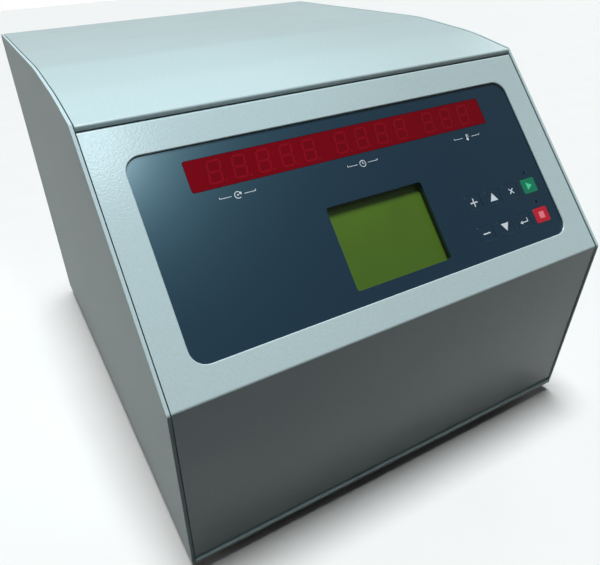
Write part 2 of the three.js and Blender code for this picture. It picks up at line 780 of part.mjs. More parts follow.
function makeBowl() {
  const rimUnder = deckTop + seatGap;
  const rimTop = rimUnder + bowlWall;
  const cornerR = bowlRadius - bowlCornerRadius;
  const cornerZ = bowlBottom + bowlCornerRadius;
  const inner = arcPoints([cornerR, cornerZ], bowlCornerRadius, -Math.PI / 2, 0, bowlCornerSteps);
  const outerRadius = bowlCornerRadius + bowlWall;
  const outer = arcPoints([cornerR, cornerZ], outerRadius, 0, -Math.PI / 2, bowlCornerSteps);
  const shape = [
    [bootHoleRadius, bowlBottom],
    ...inner,
    [bowlRadius, rimTop],
    [bowlRimRadius, rimTop],
    [bowlRimRadius, rimUnder],
    [bowlRadius + bowlWall, rimUnder],
    ...outer,
    [bootHoleRadius, bowlBottom - bowlWall],
    [bootHoleRadius, bowlBottom],
  ];
  const bowl = named("chamber_bowl", turned(shape, bowlSides), materials.stainless);
  bowl.position.y = chamberY;
  cabinet.add(bowl);

  const sealLow = rimTop + seatGap;
  const sealHigh = lidLiningBottom - seatGap;
  const sealMiddle = (sealInnerRadius + sealOuterRadius) / 2;
  const sealShape = [
    [sealInnerRadius, sealLow],
    [sealInnerRadius, (sealLow + sealHigh) / 2],
    [sealMiddle, sealHigh],
    [sealOuterRadius, (sealLow + sealHigh) / 2],
    [sealOuterRadius, sealLow],
    [sealInnerRadius, sealLow],
  ];
  const seal = named("chamber_seal", turned(sealShape, bowlSides), materials.rubber);
  seal.position.y = chamberY;
  cabinet.add(seal);
}

function makeGuardRing() {
  const innerRadius = chamberRadius - guardThickness;
  const low = supportTop + seatGap;
  const high = deckTop - sheetThickness - seatGap;
  const shape = [
    [innerRadius, low],
    [innerRadius, high],
    [chamberRadius, high],
    [chamberRadius, low],
    [innerRadius, low],
  ];
  const ring = named("guard_ring", turned(shape, bowlSides), materials.armourSteel);
  ring.position.y = chamberY;
  cabinet.add(ring);
}

// Chamber support: a bridge over the drive that carries the guard ring
const supportThickness = 2.5;
const supportSideReach = 12.5;
const supportFrontReach = 4.5;
const supportRearShort = 15.5;
const supportX = chamberRadius + supportSideReach;
const supportFrontY = chamberY - chamberRadius - supportFrontReach;
const supportRearY = chamberY + chamberRadius - supportRearShort;
const supportHoleRadius = 74;

function makeChamberSupport() {
  const floor = baseThickness + seatGap;
  const path = [
    new THREE.Vector2(-supportX, floor),
    new THREE.Vector2(-supportX, supportTop),
    new THREE.Vector2(supportX, supportTop),
    new THREE.Vector2(supportX, floor),
  ];
  const outline = bentSheet(path.reverse(), supportThickness, supportThickness * 2);
  const bridge = prismAlongY(outline, supportFrontY, supportRearY);
  const hole = rod(supportHoleRadius, supportTop - supportThickness * 2, supportTop + cutOverrun);
  hole.translate(0, chamberY, 0);
  cabinet.add(named("chamber_support", cut(bridge, hole), materials.zincSteel));
}

// Drive: a motor whose wide flange stands on rubber dampers
const standThickness = 3;
const standRadius = 92;
const postRadius = 7;
const postTop = 68;
const damperRadius = 14;
const damperWaist = 10;
const damperHeight = 20;
const damperRing = 72;
const damperCount = 3;
const motorRadius = 50;
const motorBottom = 12;
const motorFlangeRadius = 88;
const motorFlangeThickness = 6;
const motorFinDepth = 3;
const motorFinCount = 3;
const motorNoseRadius = 17;
const motorBoreRadius = 8.5;
const motorBoreDepth = 12;

function ringSpots(count, radius, firstAngle) {
  return Array.from({ length: count }, (_, i) => {
    const angle = firstAngle + (i * Math.PI * 2) / count;
    return [radius * Math.cos(angle), radius * Math.sin(angle)];
  });
}

const damperSpots = ringSpots(damperCount, damperRing, -Math.PI / 2);
const damperLow = postTop + seatGap;
const damperHigh = damperLow + damperHeight;

function makeMotorMount() {
  const floor = baseThickness + seatGap;
  const foot = rod(standRadius, floor, floor + standThickness, roundSides);
  const posts = damperSpots.map(([x, y]) =>
    rod(postRadius, floor, postTop, smallRoundSides).translate(x, y, 0),
  );
  const well = rod(motorRadius, floor - cutOverrun, floor + standThickness + cutOverrun, roundSides);
  const stand = named("motor_stand", cut(join(foot, ...posts), well), materials.zincSteel);
  stand.position.y = chamberY;
  cabinet.add(stand);

  const damperMiddle = (damperLow + damperHigh) / 2;
  const shape = [
    [0, damperLow],
    [damperRadius, damperLow],
    [damperWaist, damperMiddle],
    [damperRadius, damperHigh],
    [0, damperHigh],
  ];
  damperSpots.forEach(([x, y], i) => {
    const damper = named("motor_damper_" + (i + 1), turned(shape, mediumRoundSides), materials.rubber);
    damper.position.set(x, chamberY + y, 0);
    cabinet.add(damper);
  });
}

function makeMotor() {
  const flangeLow = damperHigh + seatGap;
  const flangeHigh = flangeLow + motorFlangeThickness;
  const finPitch = (flangeLow - motorBottom) / (motorFinCount + 1) / 2;
  const fins = [];
  for (let i = 1; i <= motorFinCount; i += 1) {
    const z = motorBottom + finPitch * 2 * i;
    const low = z - finPitch / 2;
    const high = z + finPitch / 2;
    const root = motorRadius - motorFinDepth;
    fins.push([motorRadius, low], [root, low], [root, high], [motorRadius, high]);
  }
  const shape = [
    [0, motorBottom],
    [motorRadius, motorBottom],
    ...fins,
    [motorRadius, flangeLow],
    [motorFlangeRadius, flangeLow],
    [motorFlangeRadius, flangeHigh],
    [motorRadius, flangeHigh],
    [motorRadius - motorFinDepth * 2, motorTop],
    [motorNoseRadius, motorTop],
    [motorNoseRadius, motorNoseTop],
    [motorBoreRadius, motorNoseTop],
    [motorBoreRadius, motorNoseTop - motorBoreDepth],
    [0, motorNoseTop - motorBoreDepth],
  ];
  const motor = named("drive_motor", turned(shape), materials.aluminium);
  motor.position.y = chamberY;
  cabinet.add(motor);
}

// Shaft boot: a rubber bellows from the motor's nose to the hole in the bowl
const bootWall = 2;
const bootRibs = 2;
const bootRibDepth = 4;
const bootLipReach = 4;
const bootLipHeight = 2.5;

function makeShaftBoot() {
  const low = motorTop + seatGap;
  const base = motorNoseRadius + seatGap;
  const neck = bootHoleRadius - seatGap;
  const ribTop = bowlBottom - bowlWall - seatGap - bootWall;
  const ribPitch = (ribTop - low) / bootRibs;
  const outer = [];
  const inner = [];
  for (let i = 0; i < bootRibs; i += 1) {
    const z = low + ribPitch * i;
    outer.push([base + bootWall, z], [base + bootWall + bootRibDepth, z + ribPitch / 2]);
    inner.push([base, z], [base + bootRibDepth, z + ribPitch / 2]);
  }
  const lipLow = bowlBottom + seatGap;
  const shape = [
    ...outer,
    [base + bootWall, ribTop],
    [neck, ribTop],
    [neck, lipLow],
    [neck + bootLipReach, lipLow],
    [neck + bootLipReach, lipLow + bootLipHeight],
    [neck - bootWall, lipLow + bootLipHeight],
    [base, ribTop],
    ...inner.reverse(),
    outer[0],
  ];
  const boot = named("shaft_boot", turned(shape, mediumRoundSides), materials.rubber);
  boot.position.y = chamberY;
  cabinet.add(boot);
}

// Rotor: a swing-out yoke on the drive shaft, with four buckets hung on trunnion pins
const shaftRadius = 8;
const shaftShoulderRadius = 13;
const shaftTaperRadius = 7;
const shaftThreadRadius = 5;
const rotorRise = 88;
const pivotZ = bowlBottom + rotorRise;
const yokeHubDrop = 26;
const yokeHubRise = 18;
const yokeHubBottom = pivotZ - yokeHubDrop;
const yokeHubTop = pivotZ + yokeHubRise;
const yokeHubRadius = 21;
const yokeSkirtRadius = 15;
const yokeArmHalfWidth = 18;
const yokeArmReach = 84;
const yokeArmHeight = 16;
const yokeArmWaist = 13;
const yokeRibHeight = 10;
const yokeRibHalfWidth = 4;
const yokeFlareShare = 1.4;
const yokeArmRootShare = 0.6;
const yokeRibRootShare = 0.5;
const pivotRadius = 68;
const trunnionRadius = 4;
const trunnionTipY = 26.8;
const trunnionRootY = 46;
const nutRadius = 17;
const nutHeight = 17;
const nutGrooves = 12;
const nutGrooveRadius = 1.6;
const nutChamfer = 2;

const rotor = new THREE.Group();
rotor.position.y = chamberY;
cabinet.add(rotor);

function makeDriveShaft() {
  const low = motorNoseTop - motorBoreDepth + turnClearance;
  const shoulder = yokeHubBottom - seatGap;
  const top = yokeHubTop + nutHeight / 2;
  const shape = [
    [0, low],
    [shaftRadius, low],
    [shaftRadius, shoulder - shaftShoulderRadius],
    [shaftShoulderRadius, shoulder - shaftRadius],
    [shaftShoulderRadius, shoulder],
    [shaftRadius, shoulder],
    [shaftTaperRadius, yokeHubTop - shaftShoulderRadius],
    [shaftThreadRadius, yokeHubTop - shaftRadius],
    [shaftThreadRadius, top],
    [0, top],
  ];
  rotor.add(named("drive_shaft", turned(shape, mediumRoundSides), materials.stainless));
}

function armOutline() {
  const wide = yokeArmHalfWidth;
  const tip = yokeArmReach;
  const flare = tip - wide * yokeFlareShare;
  const root = yokeHubRadius * yokeArmRootShare;
  return new THREE.Shape([
    new THREE.Vector2(root, -yokeArmWaist),
    new THREE.Vector2(yokeHubRadius, -yokeArmWaist),
    new THREE.Vector2(flare, -wide),
    new THREE.Vector2(tip, -wide),
    new THREE.Vector2(tip, wide),
    new THREE.Vector2(flare, wide),
    new THREE.Vector2(yokeHubRadius, yokeArmWaist),
    new THREE.Vector2(root, yokeArmWaist),
  ]);
}

function makeYoke() {
  const armLow = pivotZ - yokeArmHeight / 2;
  const armHigh = pivotZ + yokeArmHeight / 2;
  const pieces = [
    turned(
      [
        [0, yokeHubBottom],
        [yokeSkirtRadius, yokeHubBottom],
        [yokeHubRadius, armLow],
        [yokeHubRadius, armHigh],
        [yokeSkirtRadius, yokeHubTop],
        [0, yokeHubTop],
      ],
    ),
  ];
  for (let quarter = 0; quarter < 4; quarter += 1) {
    const turn = (Math.PI / 2) * quarter;
    const arm = prism(armOutline(), armLow, armHigh).rotateZ(turn + Math.PI / 4);
    const root = yokeHubRadius * yokeRibRootShare;
    const rib = new THREE.Shape([
      new THREE.Vector2(root, yokeHubBottom),
      new THREE.Vector2(yokeSkirtRadius, yokeHubBottom),
      new THREE.Vector2(yokeArmReach - yokeArmHalfWidth, armLow + yokeRibHeight / 2),
      new THREE.Vector2(root, armLow + yokeRibHeight / 2),
    ]);
    const web = prismAlongY(rib, -yokeRibHalfWidth, yokeRibHalfWidth).rotateZ(turn + Math.PI / 4);
    pieces.push(arm, web);
    for (const side of [-1, 1]) {
      const low = Math.min(side * trunnionTipY, side * trunnionRootY);
      const high = Math.max(side * trunnionTipY, side * trunnionRootY);
      const pin = rod(trunnionRadius, low, high, smallRoundSides).rotateX(-Math.PI / 2);
      pieces.push(pin.translate(pivotRadius, 0, pivotZ).rotateZ(turn));
    }
  }
  const bore = turned(
    [
      [0, yokeHubBottom - cutOverrun],
      [shaftRadius + seatGap, yokeHubBottom - cutOverrun],
      [shaftRadius + seatGap, yokeHubBottom],
      [shaftTaperRadius + seatGap, yokeHubTop - shaftShoulderRadius],
      [shaftTaperRadius + seatGap, yokeHubTop + cutOverrun],
      [0, yokeHubTop + cutOverrun],
    ],
  );
  rotor.add(named("rotor_yoke", cut(join(...pieces), bore), materials.aluminium));
}

function makeRotorNut() {
  const low = yokeHubTop + seatGap;
  const high = low + nutHeight;
  const body = turned(
    [
      [0, low],
      [nutRadius, low],
      [nutRadius, high - nutChamfer],
      [nutRadius - nutChamfer, high],
      [0, high],
    ],
  );
  const boreTop = low + nutHeight / 2 + seatGap;
  const bore = rod(shaftThreadRadius + seatGap, low - cutOverrun, boreTop, smallRoundSides);
  const grooves = ringSpots(nutGrooves, nutRadius, 0).map(([x, y]) =>
    rod(nutGrooveRadius, low - cutOverrun, high + cutOverrun, tinyRoundSides).translate(x, y, 0),
  );
  rotor.add(named("rotor_nut", cut(body, bore, ...grooves), materials.stainless));
}

const bucketRadius = 24;
const bucketWall = 2;
const bucketTop = 14;
const bucketDepth = 76;
const bucketFloor = 4;
const bucketRound = 10;
const bucketRoundSteps = 3;
const bucketRimRadius = 26;
const bucketRimHeight = 4;
const earThickness = 6.5;
const earHalfWidth = 8;
const earRise = 8.5;
const earDrop = 7;

function makeBucket(name, angle) {
  const outerRound = arcPoints(
    [bucketRadius - bucketRound, -bucketDepth + bucketRound],
    bucketRound,
    -Math.PI / 2,
    0,
    bucketRoundSteps,
  );
  const innerRadius = bucketRadius - bucketWall;
  const innerRound = bucketRound - bucketWall;
  const cup = turned(
    [
      [0, -bucketDepth],
      ...outerRound,
      [bucketRadius, bucketTop - bucketRimHeight - bucketWall],
      [bucketRimRadius, bucketTop - bucketRimHeight],
      [bucketRimRadius, bucketTop],
      [innerRadius, bucketTop],
      [innerRadius, -bucketDepth + bucketFloor + innerRound],
      [innerRadius - innerRound / 2, -bucketDepth + bucketFloor],
      [0, -bucketDepth + bucketFloor],
    ],
  );
  const earInner = innerRadius + bucketWall / 2;
  const ears = [-1, 1].map((side) => {
    const near = side * earInner;
    const far = side * (trunnionTipY + earThickness / 2);
    return block(
      [-earHalfWidth, Math.min(near, far), -earDrop],
      [earHalfWidth, Math.max(near, far), earRise],
    );
  });
  const slotRadius = trunnionRadius + seatGap;
  const slots = [-1, 1].flatMap((side) => {
    const near = side * (trunnionTipY - seatGap * 2);
    const far = side * (trunnionRootY + cutOverrun);
    const low = Math.min(near, far);
    const high = Math.max(near, far);
    const round = rod(slotRadius, low, high, smallRoundSides).rotateX(-Math.PI / 2);
    const mouth = block([-slotRadius, low, -earDrop - cutOverrun], [slotRadius, high, 0]);
    return [round, mouth];
  });
  const bucket = named(name, cut(join(cup, ...ears), ...slots), materials.aluminium);
  const arm = new THREE.Group();
  arm.rotation.z = angle;
  bucket.position.set(pivotRadius, 0, pivotZ);
  arm.add(bucket);
  rotor.add(arm);
}

function makeRotor() {
  makeDriveShaft();
  makeYoke();
  makeRotorNut();
  for (let i = 0; i < 4; i += 1) {
    makeBucket("bucket_" + (i + 1), (i * Math.PI) / 2);
  }
}

// Temperature probe: it stands in the bowl's floor, clear of the buckets' sweep
const probeRadius = 3;
const probeCollarRadius = 7;
const probeWallRoom = 37.72;
const probeAngle = 0.75;
const probeX = (bowlRadius - probeWallRoom) * Math.cos(probeAngle);
const probeY = (bowlRadius - probeWallRoom) * Math.sin(probeAngle);
const probeRise = 18;
const probeTop = bowlBottom + probeRise;
const probeCollarHeight = 4;

function makeProbe() {
  const collarLow = bowlBottom + seatGap;
  const shape = [
    [0, collarLow],
    [probeCollarRadius, collarLow],
    [probeCollarRadius, collarLow + probeCollarHeight],
    [probeRadius, collarLow + probeCollarHeight],
    [probeRadius, probeTop - probeRadius],
    [probeRadius / 2, probeTop],
    [0, probeTop],
  ];
  const probe = named("temperature_probe", turned(shape, smallRoundSides), materials.stainless);
  probe.position.set(probeX, chamberY + probeY, 0);
  cabinet.add(probe);
}

// Hinges: two butt hinges behind the rear face, each with a pin
const hingeSideInset = 77.4;
const hingeX = innerHalfWidth - hingeSideInset;
const hingeLength = 70;
const knuckleCount = 5;
const knuckleRadius = 3.5;
const knuckleGap = 0.4;
const hingePinRadius = 1.6;
const hingePinHead = 2.8;
const hingePinHeadLength = 1.5;
const leafThickness = 1.5;
const fixedLeafHeight = 28;
const lidLeafHeight = 20;
const hingeAxisDrop = 0.4;
const hingeY = rearFaceY + seatGap + knuckleRadius;
const hingeZ = lidLipBottom - hingeAxisDrop;

function makeHingeLeaf(isLid) {
  const pitch = hingeLength / knuckleCount;
  const leafLow = -knuckleRadius;
  const leafHigh = leafLow + leafThickness;
  const reach = isLid ? lidLeafHeight : fixedLeafHeight;
  const away = isLid ? 1 : -1;
  const span = (a, b) => [Math.min(a, b), Math.max(a, b)];
  const [low, high] = span(away * (knuckleRadius + knuckleGap), away * reach);
  const plate = block([-hingeLength / 2, leafLow, low], [hingeLength / 2, leafHigh, high]);
  const pieces = [plate];
  for (let i = isLid ? 1 : 0; i < knuckleCount; i += 2) {
    const left = -hingeLength / 2 + i * pitch + knuckleGap / 2;
    const right = left + pitch - knuckleGap;
    const barrel = rod(knuckleRadius, left, right, smallRoundSides).rotateY(Math.PI / 2);
    const [webLow, webHigh] = span(0, away * (knuckleRadius + knuckleGap * 2));
    pieces.push(barrel, block([left, leafLow, webLow], [right, leafHigh, webHigh]));
  }
  const bore = rod(hingePinRadius + seatGap, -hingeLength, hingeLength, tinyRoundSides);
  return cut(join(...pieces), bore.rotateY(Math.PI / 2));
}

function makeHinges() {
  for (const [side, x] of [
    ["left", -hingeX],
    ["right", hingeX],
  ]) {
    const fixedLeaf = named("hinge_fixed_leaf_" + side, makeHingeLeaf(false), materials.zincSteel);
    const lidLeaf = named("hinge_lid_leaf_" + side, makeHingeLeaf(true), materials.zincSteel);
    const half = hingeLength / 2;
    const shank = rod(hingePinRadius, -half, half + seatGap * 2, tinyRoundSides);
    const headLow = half + seatGap;
    const head = rod(hingePinHead, headLow, headLow + hingePinHeadLength, smallRoundSides);
    const pin = named("hinge_pin_" + side, join(shank, head).rotateY(Math.PI / 2), materials.zincSteel);
    for (const piece of [fixedLeaf, lidLeaf, pin]) piece.position.set(x, hingeY, hingeZ);
    cabinet.add(fixedLeaf, pin);
    lid.add(lidLeaf);
  }
}

// Rear panel: fan opening, cut-outs for the inlet and the switch, and vents
const rearTopGap = 0.8;
const fanSideInset = 89.4;
const fanX = fanSideInset - innerHalfWidth;
const fanZ = 66;
const fanSize = 92;
const fanDepth = 25;
const fanBoreRadius = 43;
const fanCornerRadius = 5;
const inletSideInset = 75.4;
const inletX = innerHalfWidth - inletSideInset;
const inletZ = 60;
const inletBodyWidth = 28;
const inletBodyHeight = 20;
const switchInletPitch = 56;
const switchX = inletX - switchInletPitch;
const switchZ = 60;
const switchBodyWidth = 19;
const switchBodyHeight = 27;
const rearCutGap = 0.4;
const ventCount = 10;
const ventWidth = 4;
const ventHeight = 46;
const ventPitch = 11;
const ventSideInset = 102.4;
const ventX = innerHalfWidth - ventSideInset;
const ventRise = 25;
const ventZ = supportTop + ventRise;

function makeRearPanel() {
  const low = baseThickness + seatGap;
  const high = lidLipBottom - rearTopGap;
  const half = panelHalfWidth;
  const outline = new THREE.Shape([
    new THREE.Vector2(-half, low),
    new THREE.Vector2(half, low),
    new THREE.Vector2(half, high),
    new THREE.Vector2(-half, high),
  ]);
  const grown = rearCutGap * 2;
  outline.holes.push(
    circle(fanBoreRadius, [fanX, fanZ], fanSides),
    rectangle(inletBodyWidth + grown, inletBodyHeight + grown, grown, [inletX, inletZ]),
    rectangle(switchBodyWidth + grown, switchBodyHeight + grown, grown, [switchX, switchZ]),
  );
  for (let i = 0; i < ventCount; i += 1) {
    const x = ventX + (i - (ventCount - 1) / 2) * ventPitch;
    outline.holes.push(rectangle(ventWidth, ventHeight, ventWidth / 2, [x, ventZ]));
  }
  const plate = prismAlongY(outline, rearFaceY - sheetThickness, rearFaceY);
  cabinet.add(named("rear_panel", plate, materials.paint));
}

// Cooling fan: square frame, seven twisted blades, and a wire guard outside
const fanHubRadius = 18;
const fanStrutWidth = 4;
const fanStrutDepth = 3;
const fanStrutCount = 4;
const fanBladeCount = 7;
const fanBladeRadius = 41;
const fanBladeChord = 17;
const fanBladeThickness = 1.4;
const fanBladeSteps = 3;
const fanBladePitch = THREE.MathUtils.degToRad(52);
const fanBladeTwist = THREE.MathUtils.degToRad(22);
const fanHubGap = 0.5;
const guardWire = 1.1;
const guardWireSides = 5;
const guardRingRadii = [42, 31, 20];
const guardSpokeReach = 57;

const fan = new THREE.Group();
fan.position.set(fanX, rearFaceY - sheetThickness - seatGap, fanZ);
cabinet.add(fan);

function makeFanFrame() {
  const outline = rectangle(fanSize, fanSize, fanCornerRadius);
  outline.holes.push(circle(fanBoreRadius, [0, 0], fanSides));
  const shell = prismAlongY(outline, -fanDepth, 0);
  const cup = circle(fanHubRadius);
  const boss = prismAlongY(cup, -fanDepth, -fanDepth + fanStrutDepth);
  const struts = ringSpots(fanStrutCount, (fanBoreRadius + fanHubRadius) / 2, Math.PI / 4).map(
    ([x, z]) => {
      const length = fanBoreRadius - fanHubRadius + fanStrutWidth;
      const strut = new THREE.BoxGeometry(length, fanStrutDepth, fanStrutWidth);
      strut.rotateY(-Math.atan2(z, x));
      return strut.translate(x, -fanDepth + fanStrutDepth / 2, z);
    },
  );
  fan.add(named("fan_frame", join(shell, boss, ...struts), materials.blackPlastic));
}

function makeFanImpeller() {
  const low = -fanDepth + fanStrutDepth + fanHubGap;
  const high = -fanHubGap;
  const middle = (low + high) / 2;
  const hub = prismAlongY(circle(fanHubRadius), low, high);
  const length = fanBladeRadius - fanHubRadius + fanStrutWidth;
  const blades = Array.from({ length: fanBladeCount }, (_, i) => {
    const blade = new THREE.BoxGeometry(length, fanBladeThickness, fanBladeChord, fanBladeSteps);
    const places = blade.attributes.position;
    for (let v = 0; v < places.count; v += 1) {
      const share = places.getX(v) / length + 0.5;
      const spot = new THREE.Vector3().fromBufferAttribute(places, v);
      spot.applyAxisAngle(new THREE.Vector3(1, 0, 0), fanBladePitch - fanBladeTwist * share);
      places.setXYZ(v, spot.x, spot.y, spot.z);
    }
    blade.translate(fanBladeRadius - length / 2, middle, 0);
    return blade.rotateY((i * Math.PI * 2) / fanBladeCount);
  });
  fan.add(named("fan_impeller", join(hub, ...blades), materials.blackPlastic));
}

function makeFanGuard() {
  const y = rearFaceY + seatGap + guardWire;
  const rings = guardRingRadii.map((radius) =>
    new THREE.TorusGeometry(radius, guardWire, guardWireSides, roundSides).rotateX(Math.PI / 2),
  );
  const spokes = [-1, 1].map((side) => {
    const length = guardSpokeReach * 2;
    const wire = new THREE.CylinderGeometry(guardWire, guardWire, length, guardWireSides);
    return wire.rotateX(Math.PI / 2).rotateY((side * Math.PI) / 4);
  });
  const guard = named("fan_guard", join(...rings, ...spokes), materials.zincSteel);
  guard.position.set(fanX, y, fanZ);
  cabinet.add(guard);
}

// Mains inlet: a flanged socket with three pins
const inletFlangeWidth = 40;
const inletFlangeHeight = 27;
const inletFlangeThickness = 2.5;
const inletDepth = 22;
const inletWall = 2;
const inletCavityDepth = 16;
const inletPinWidth = 2;
const inletPinHeight = 4;
const inletPinLength = 12;
const inletPinX = 7;
const inletEarthRise = 4;
const inletLiveDrop = 1;

function makeInlet() {
  const face = rearFaceY + seatGap;
  const flange = prismAlongY(
    rectangle(inletFlangeWidth, inletFlangeHeight, inletWall * 2),
    face,
    face + inletFlangeThickness,
  );
  const body = prismAlongY(
    rectangle(inletBodyWidth, inletBodyHeight, inletWall / 2),
    rearFaceY - inletDepth,
    face + inletFlangeThickness / 2,
  );
  const mouth = face + inletFlangeThickness;
  const cavity = prismAlongY(
    rectangle(inletBodyWidth - inletWall * 2, inletBodyHeight - inletWall * 2, inletWall),
    mouth - inletCavityDepth,
    mouth + cutOverrun,
  );
  const pins = [
    [-inletPinX, -inletLiveDrop],
    [0, inletEarthRise],
    [inletPinX, -inletLiveDrop],
  ].map(([x, z]) => {
    const halfWidth = inletPinWidth / 2;
    const halfHeight = inletPinHeight / 2;
    const root = mouth - inletCavityDepth - inletWall / 2;
    return block(
      [x - halfWidth, root, z - halfHeight],
      [x + halfWidth, root + inletPinLength, z + halfHeight],
    );
  });
  const socket = join(cut(join(flange, body), cavity), ...pins);
  const inlet = named("mains_inlet", socket, materials.blackPlastic);
  inlet.position.set(inletX, 0, inletZ);
  cabinet.add(inlet);
}

// Power switch: a bezel with a deep tub, and a rocker that tips about its middle
const switchFlangeMargin = 2;
const switchFlangeThickness = 2;
const switchTubDepth = 20;
const switchWall = 1.6;
const rockerGap = 0.5;
const rockerTip = THREE.MathUtils.degToRad(9);
const rockerDepth = 7;
const rockerCrown = 3.5;

function makeSwitch() {
  const face = rearFaceY + seatGap;
  const bezelShape = rectangle(
    switchBodyWidth + switchFlangeMargin * 2,
    switchBodyHeight + switchFlangeMargin * 2,
    switchFlangeMargin,
  );
  const bezel = prismAlongY(bezelShape, face, face + switchFlangeThickness);
  const tub = prismAlongY(
    rectangle(switchBodyWidth, switchBodyHeight, switchWall / 2),
    rearFaceY - switchTubDepth,
    face + switchFlangeThickness / 2,
  );
  const insideWidth = switchBodyWidth - switchWall * 2;
  const insideHeight = switchBodyHeight - switchWall * 2;
  const hollow = prismAlongY(
    rectangle(insideWidth, insideHeight, switchWall / 2),
    rearFaceY - switchTubDepth + switchWall,
    face + switchFlangeThickness + cutOverrun,
  );
  const shell = named("switch_bezel", cut(join(bezel, tub), hollow), materials.blackPlastic);
  shell.position.set(switchX, 0, switchZ);
  cabinet.add(shell);

  const halfHeight = insideHeight / 2 - rockerGap - rockerDepth * Math.sin(rockerTip);
  const outline = new THREE.Shape([
    new THREE.Vector2(-rockerDepth, -halfHeight / 2),
    new THREE.Vector2(0, -halfHeight),
    new THREE.Vector2(rockerCrown, -halfHeight),
    new THREE.Vector2(rockerCrown / 2, 0),
    new THREE.Vector2(rockerCrown, halfHeight),
    new THREE.Vector2(0, halfHeight),
    new THREE.Vector2(-rockerDepth, halfHeight / 2),
  ]);
  const halfWidth = insideWidth / 2 - rockerGap;
  const rocker = named("power_rocker", prismAlongX(outline, -halfWidth, halfWidth), materials.blackPlastic);
  rocker.position.set(switchX, rearFaceY, switchZ);
  rocker.rotation.x = -rockerTip;
  cabinet.add(rocker);
}

// Drive unit: the speed controller with its comb heat sink, on the base plate
const unitWidth = 72;
const unitSideRoom = 8;
const unitRight = supportX - unitSideRoom;
const unitLeft = unitRight - unitWidth;
const unitFront = 40;
const unitRear = 190;
const unitHeight = 34;
const finHeight = 22;
const finThickness = 2.4;
const finCount = 7;

function makeDriveUnit() {
  const low = baseThickness + seatGap;
  const bodyTop = low + unitHeight;
  const body = block([unitLeft, unitFront, low], [unitRight, unitRear, bodyTop]);
  const pitch = (unitRight - unitLeft - finThickness) / (finCount - 1);
  const fins = Array.from({ length: finCount }, (_, i) => {
    const left = unitLeft + i * pitch;
    const right = left + finThickness;
    return block([left, unitFront, bodyTop - finThickness], [right, unitRear, bodyTop + finHeight]);
  });
  cabinet.add(named("drive_unit", join(body, ...fins), materials.aluminium));
}

makeSidePanels();
makeBasePlate();
makeFeet();
makeDeckPlate();
makeFrontPanel();
makeMembranePanel();
makeKeys();
makeKeyBoard();
makeDisplay();
makeLcd();
makeLidShell();
makeLidLiner();
makeStriker();
makeLock();
makeBowl();
makeGuardRing();
makeChamberSupport();
makeMotorMount();
makeMotor();
makeShaftBoot();
makeRotor();
makeProbe();
makeHinges();
makeRearPanel();
makeFanFrame();
makeFanImpeller();
makeFanGuard();
makeInlet();
makeSwitch();
makeDriveUnit();

// The part's origin is the middle of its footprint, at the feet
const centrifuge = new THREE.Group();
centrifuge.name = "bench_centrifuge";
centrifuge.add(cabinet);
centrifuge.updateMatrixWorld(true);
const reach = new THREE.Box3().setFromObject(cabinet, true);
cabinet.position.set(0, -(reach.min.y + reach.max.y) / 2, -reach.min.z);

export default centrifuge;
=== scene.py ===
import json
import math

import bmesh
import bpy
from mathutils import Matrix, Vector


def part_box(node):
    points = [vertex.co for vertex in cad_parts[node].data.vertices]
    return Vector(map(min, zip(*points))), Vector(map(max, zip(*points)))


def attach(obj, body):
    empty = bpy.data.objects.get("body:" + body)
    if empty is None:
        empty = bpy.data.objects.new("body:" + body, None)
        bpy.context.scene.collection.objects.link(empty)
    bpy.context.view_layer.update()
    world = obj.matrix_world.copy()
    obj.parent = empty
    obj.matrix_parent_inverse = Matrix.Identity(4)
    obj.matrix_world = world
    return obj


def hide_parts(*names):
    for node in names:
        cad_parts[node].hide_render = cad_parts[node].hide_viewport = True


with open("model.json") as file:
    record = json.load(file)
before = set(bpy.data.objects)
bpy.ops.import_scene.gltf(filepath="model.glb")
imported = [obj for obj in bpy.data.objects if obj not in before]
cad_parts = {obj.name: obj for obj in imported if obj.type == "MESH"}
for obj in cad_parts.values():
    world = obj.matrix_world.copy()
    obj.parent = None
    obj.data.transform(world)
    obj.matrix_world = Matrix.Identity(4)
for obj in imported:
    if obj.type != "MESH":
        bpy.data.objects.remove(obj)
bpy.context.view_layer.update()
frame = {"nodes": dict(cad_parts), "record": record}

# Lengths are in millimetres in the part's own frame, and a finished mesh is scaled to metres once
metre = 0.001
zAxis = Vector((0, 0, 1))
chamberY = 67.812    # the rotor's upright axis stands this far behind the origin


def addObject(name, data):
    added = bpy.data.objects.new(name, data)
    bpy.context.scene.collection.objects.link(added)
    return added


def facing(direction):
    return Vector(direction).to_track_quat("Z", "Y").to_matrix().to_4x4()


# Camera: the photo's view, in metres and degrees

camera = {
    "place": (-0.25024, -0.53203, 0.42840),
    "azimuth": -26.986,
    "elevation": 29.245,
    "roll": -3.566,
    "sensor": 36,
    "lens": 34.563,
    "shift": (0.02555, -0.02937),
    "nearest": 0.01,
}


def makeCamera():
    azimuth = math.radians(camera["azimuth"])
    elevation = math.radians(camera["elevation"])
    roll = math.radians(camera["roll"])
    level = math.cos(elevation)
    back = Vector((math.sin(azimuth) * level, -math.cos(azimuth) * level, math.sin(elevation)))
    right = (-back).cross(zAxis).normalized()
    up = right.cross(-back)
    turnedRight = right * math.cos(roll) + up * math.sin(roll)
    turnedUp = up * math.cos(roll) - right * math.sin(roll)
    data = bpy.data.cameras.new("photoView")
    data.sensor_width = camera["sensor"]
    data.lens = camera["lens"]
    data.shift_x, data.shift_y = camera["shift"]
    data.clip_start = camera["nearest"]
    seen = addObject("photoView", data)
    turn = Matrix((turnedRight, turnedUp, back)).transposed().to_4x4()
    seen.matrix_world = Matrix.Translation(camera["place"]) @ turn
    bpy.context.scene.camera = seen


# Materials. Grains finer than about half a millimetre on the real thing are drawn coarser, so that they show

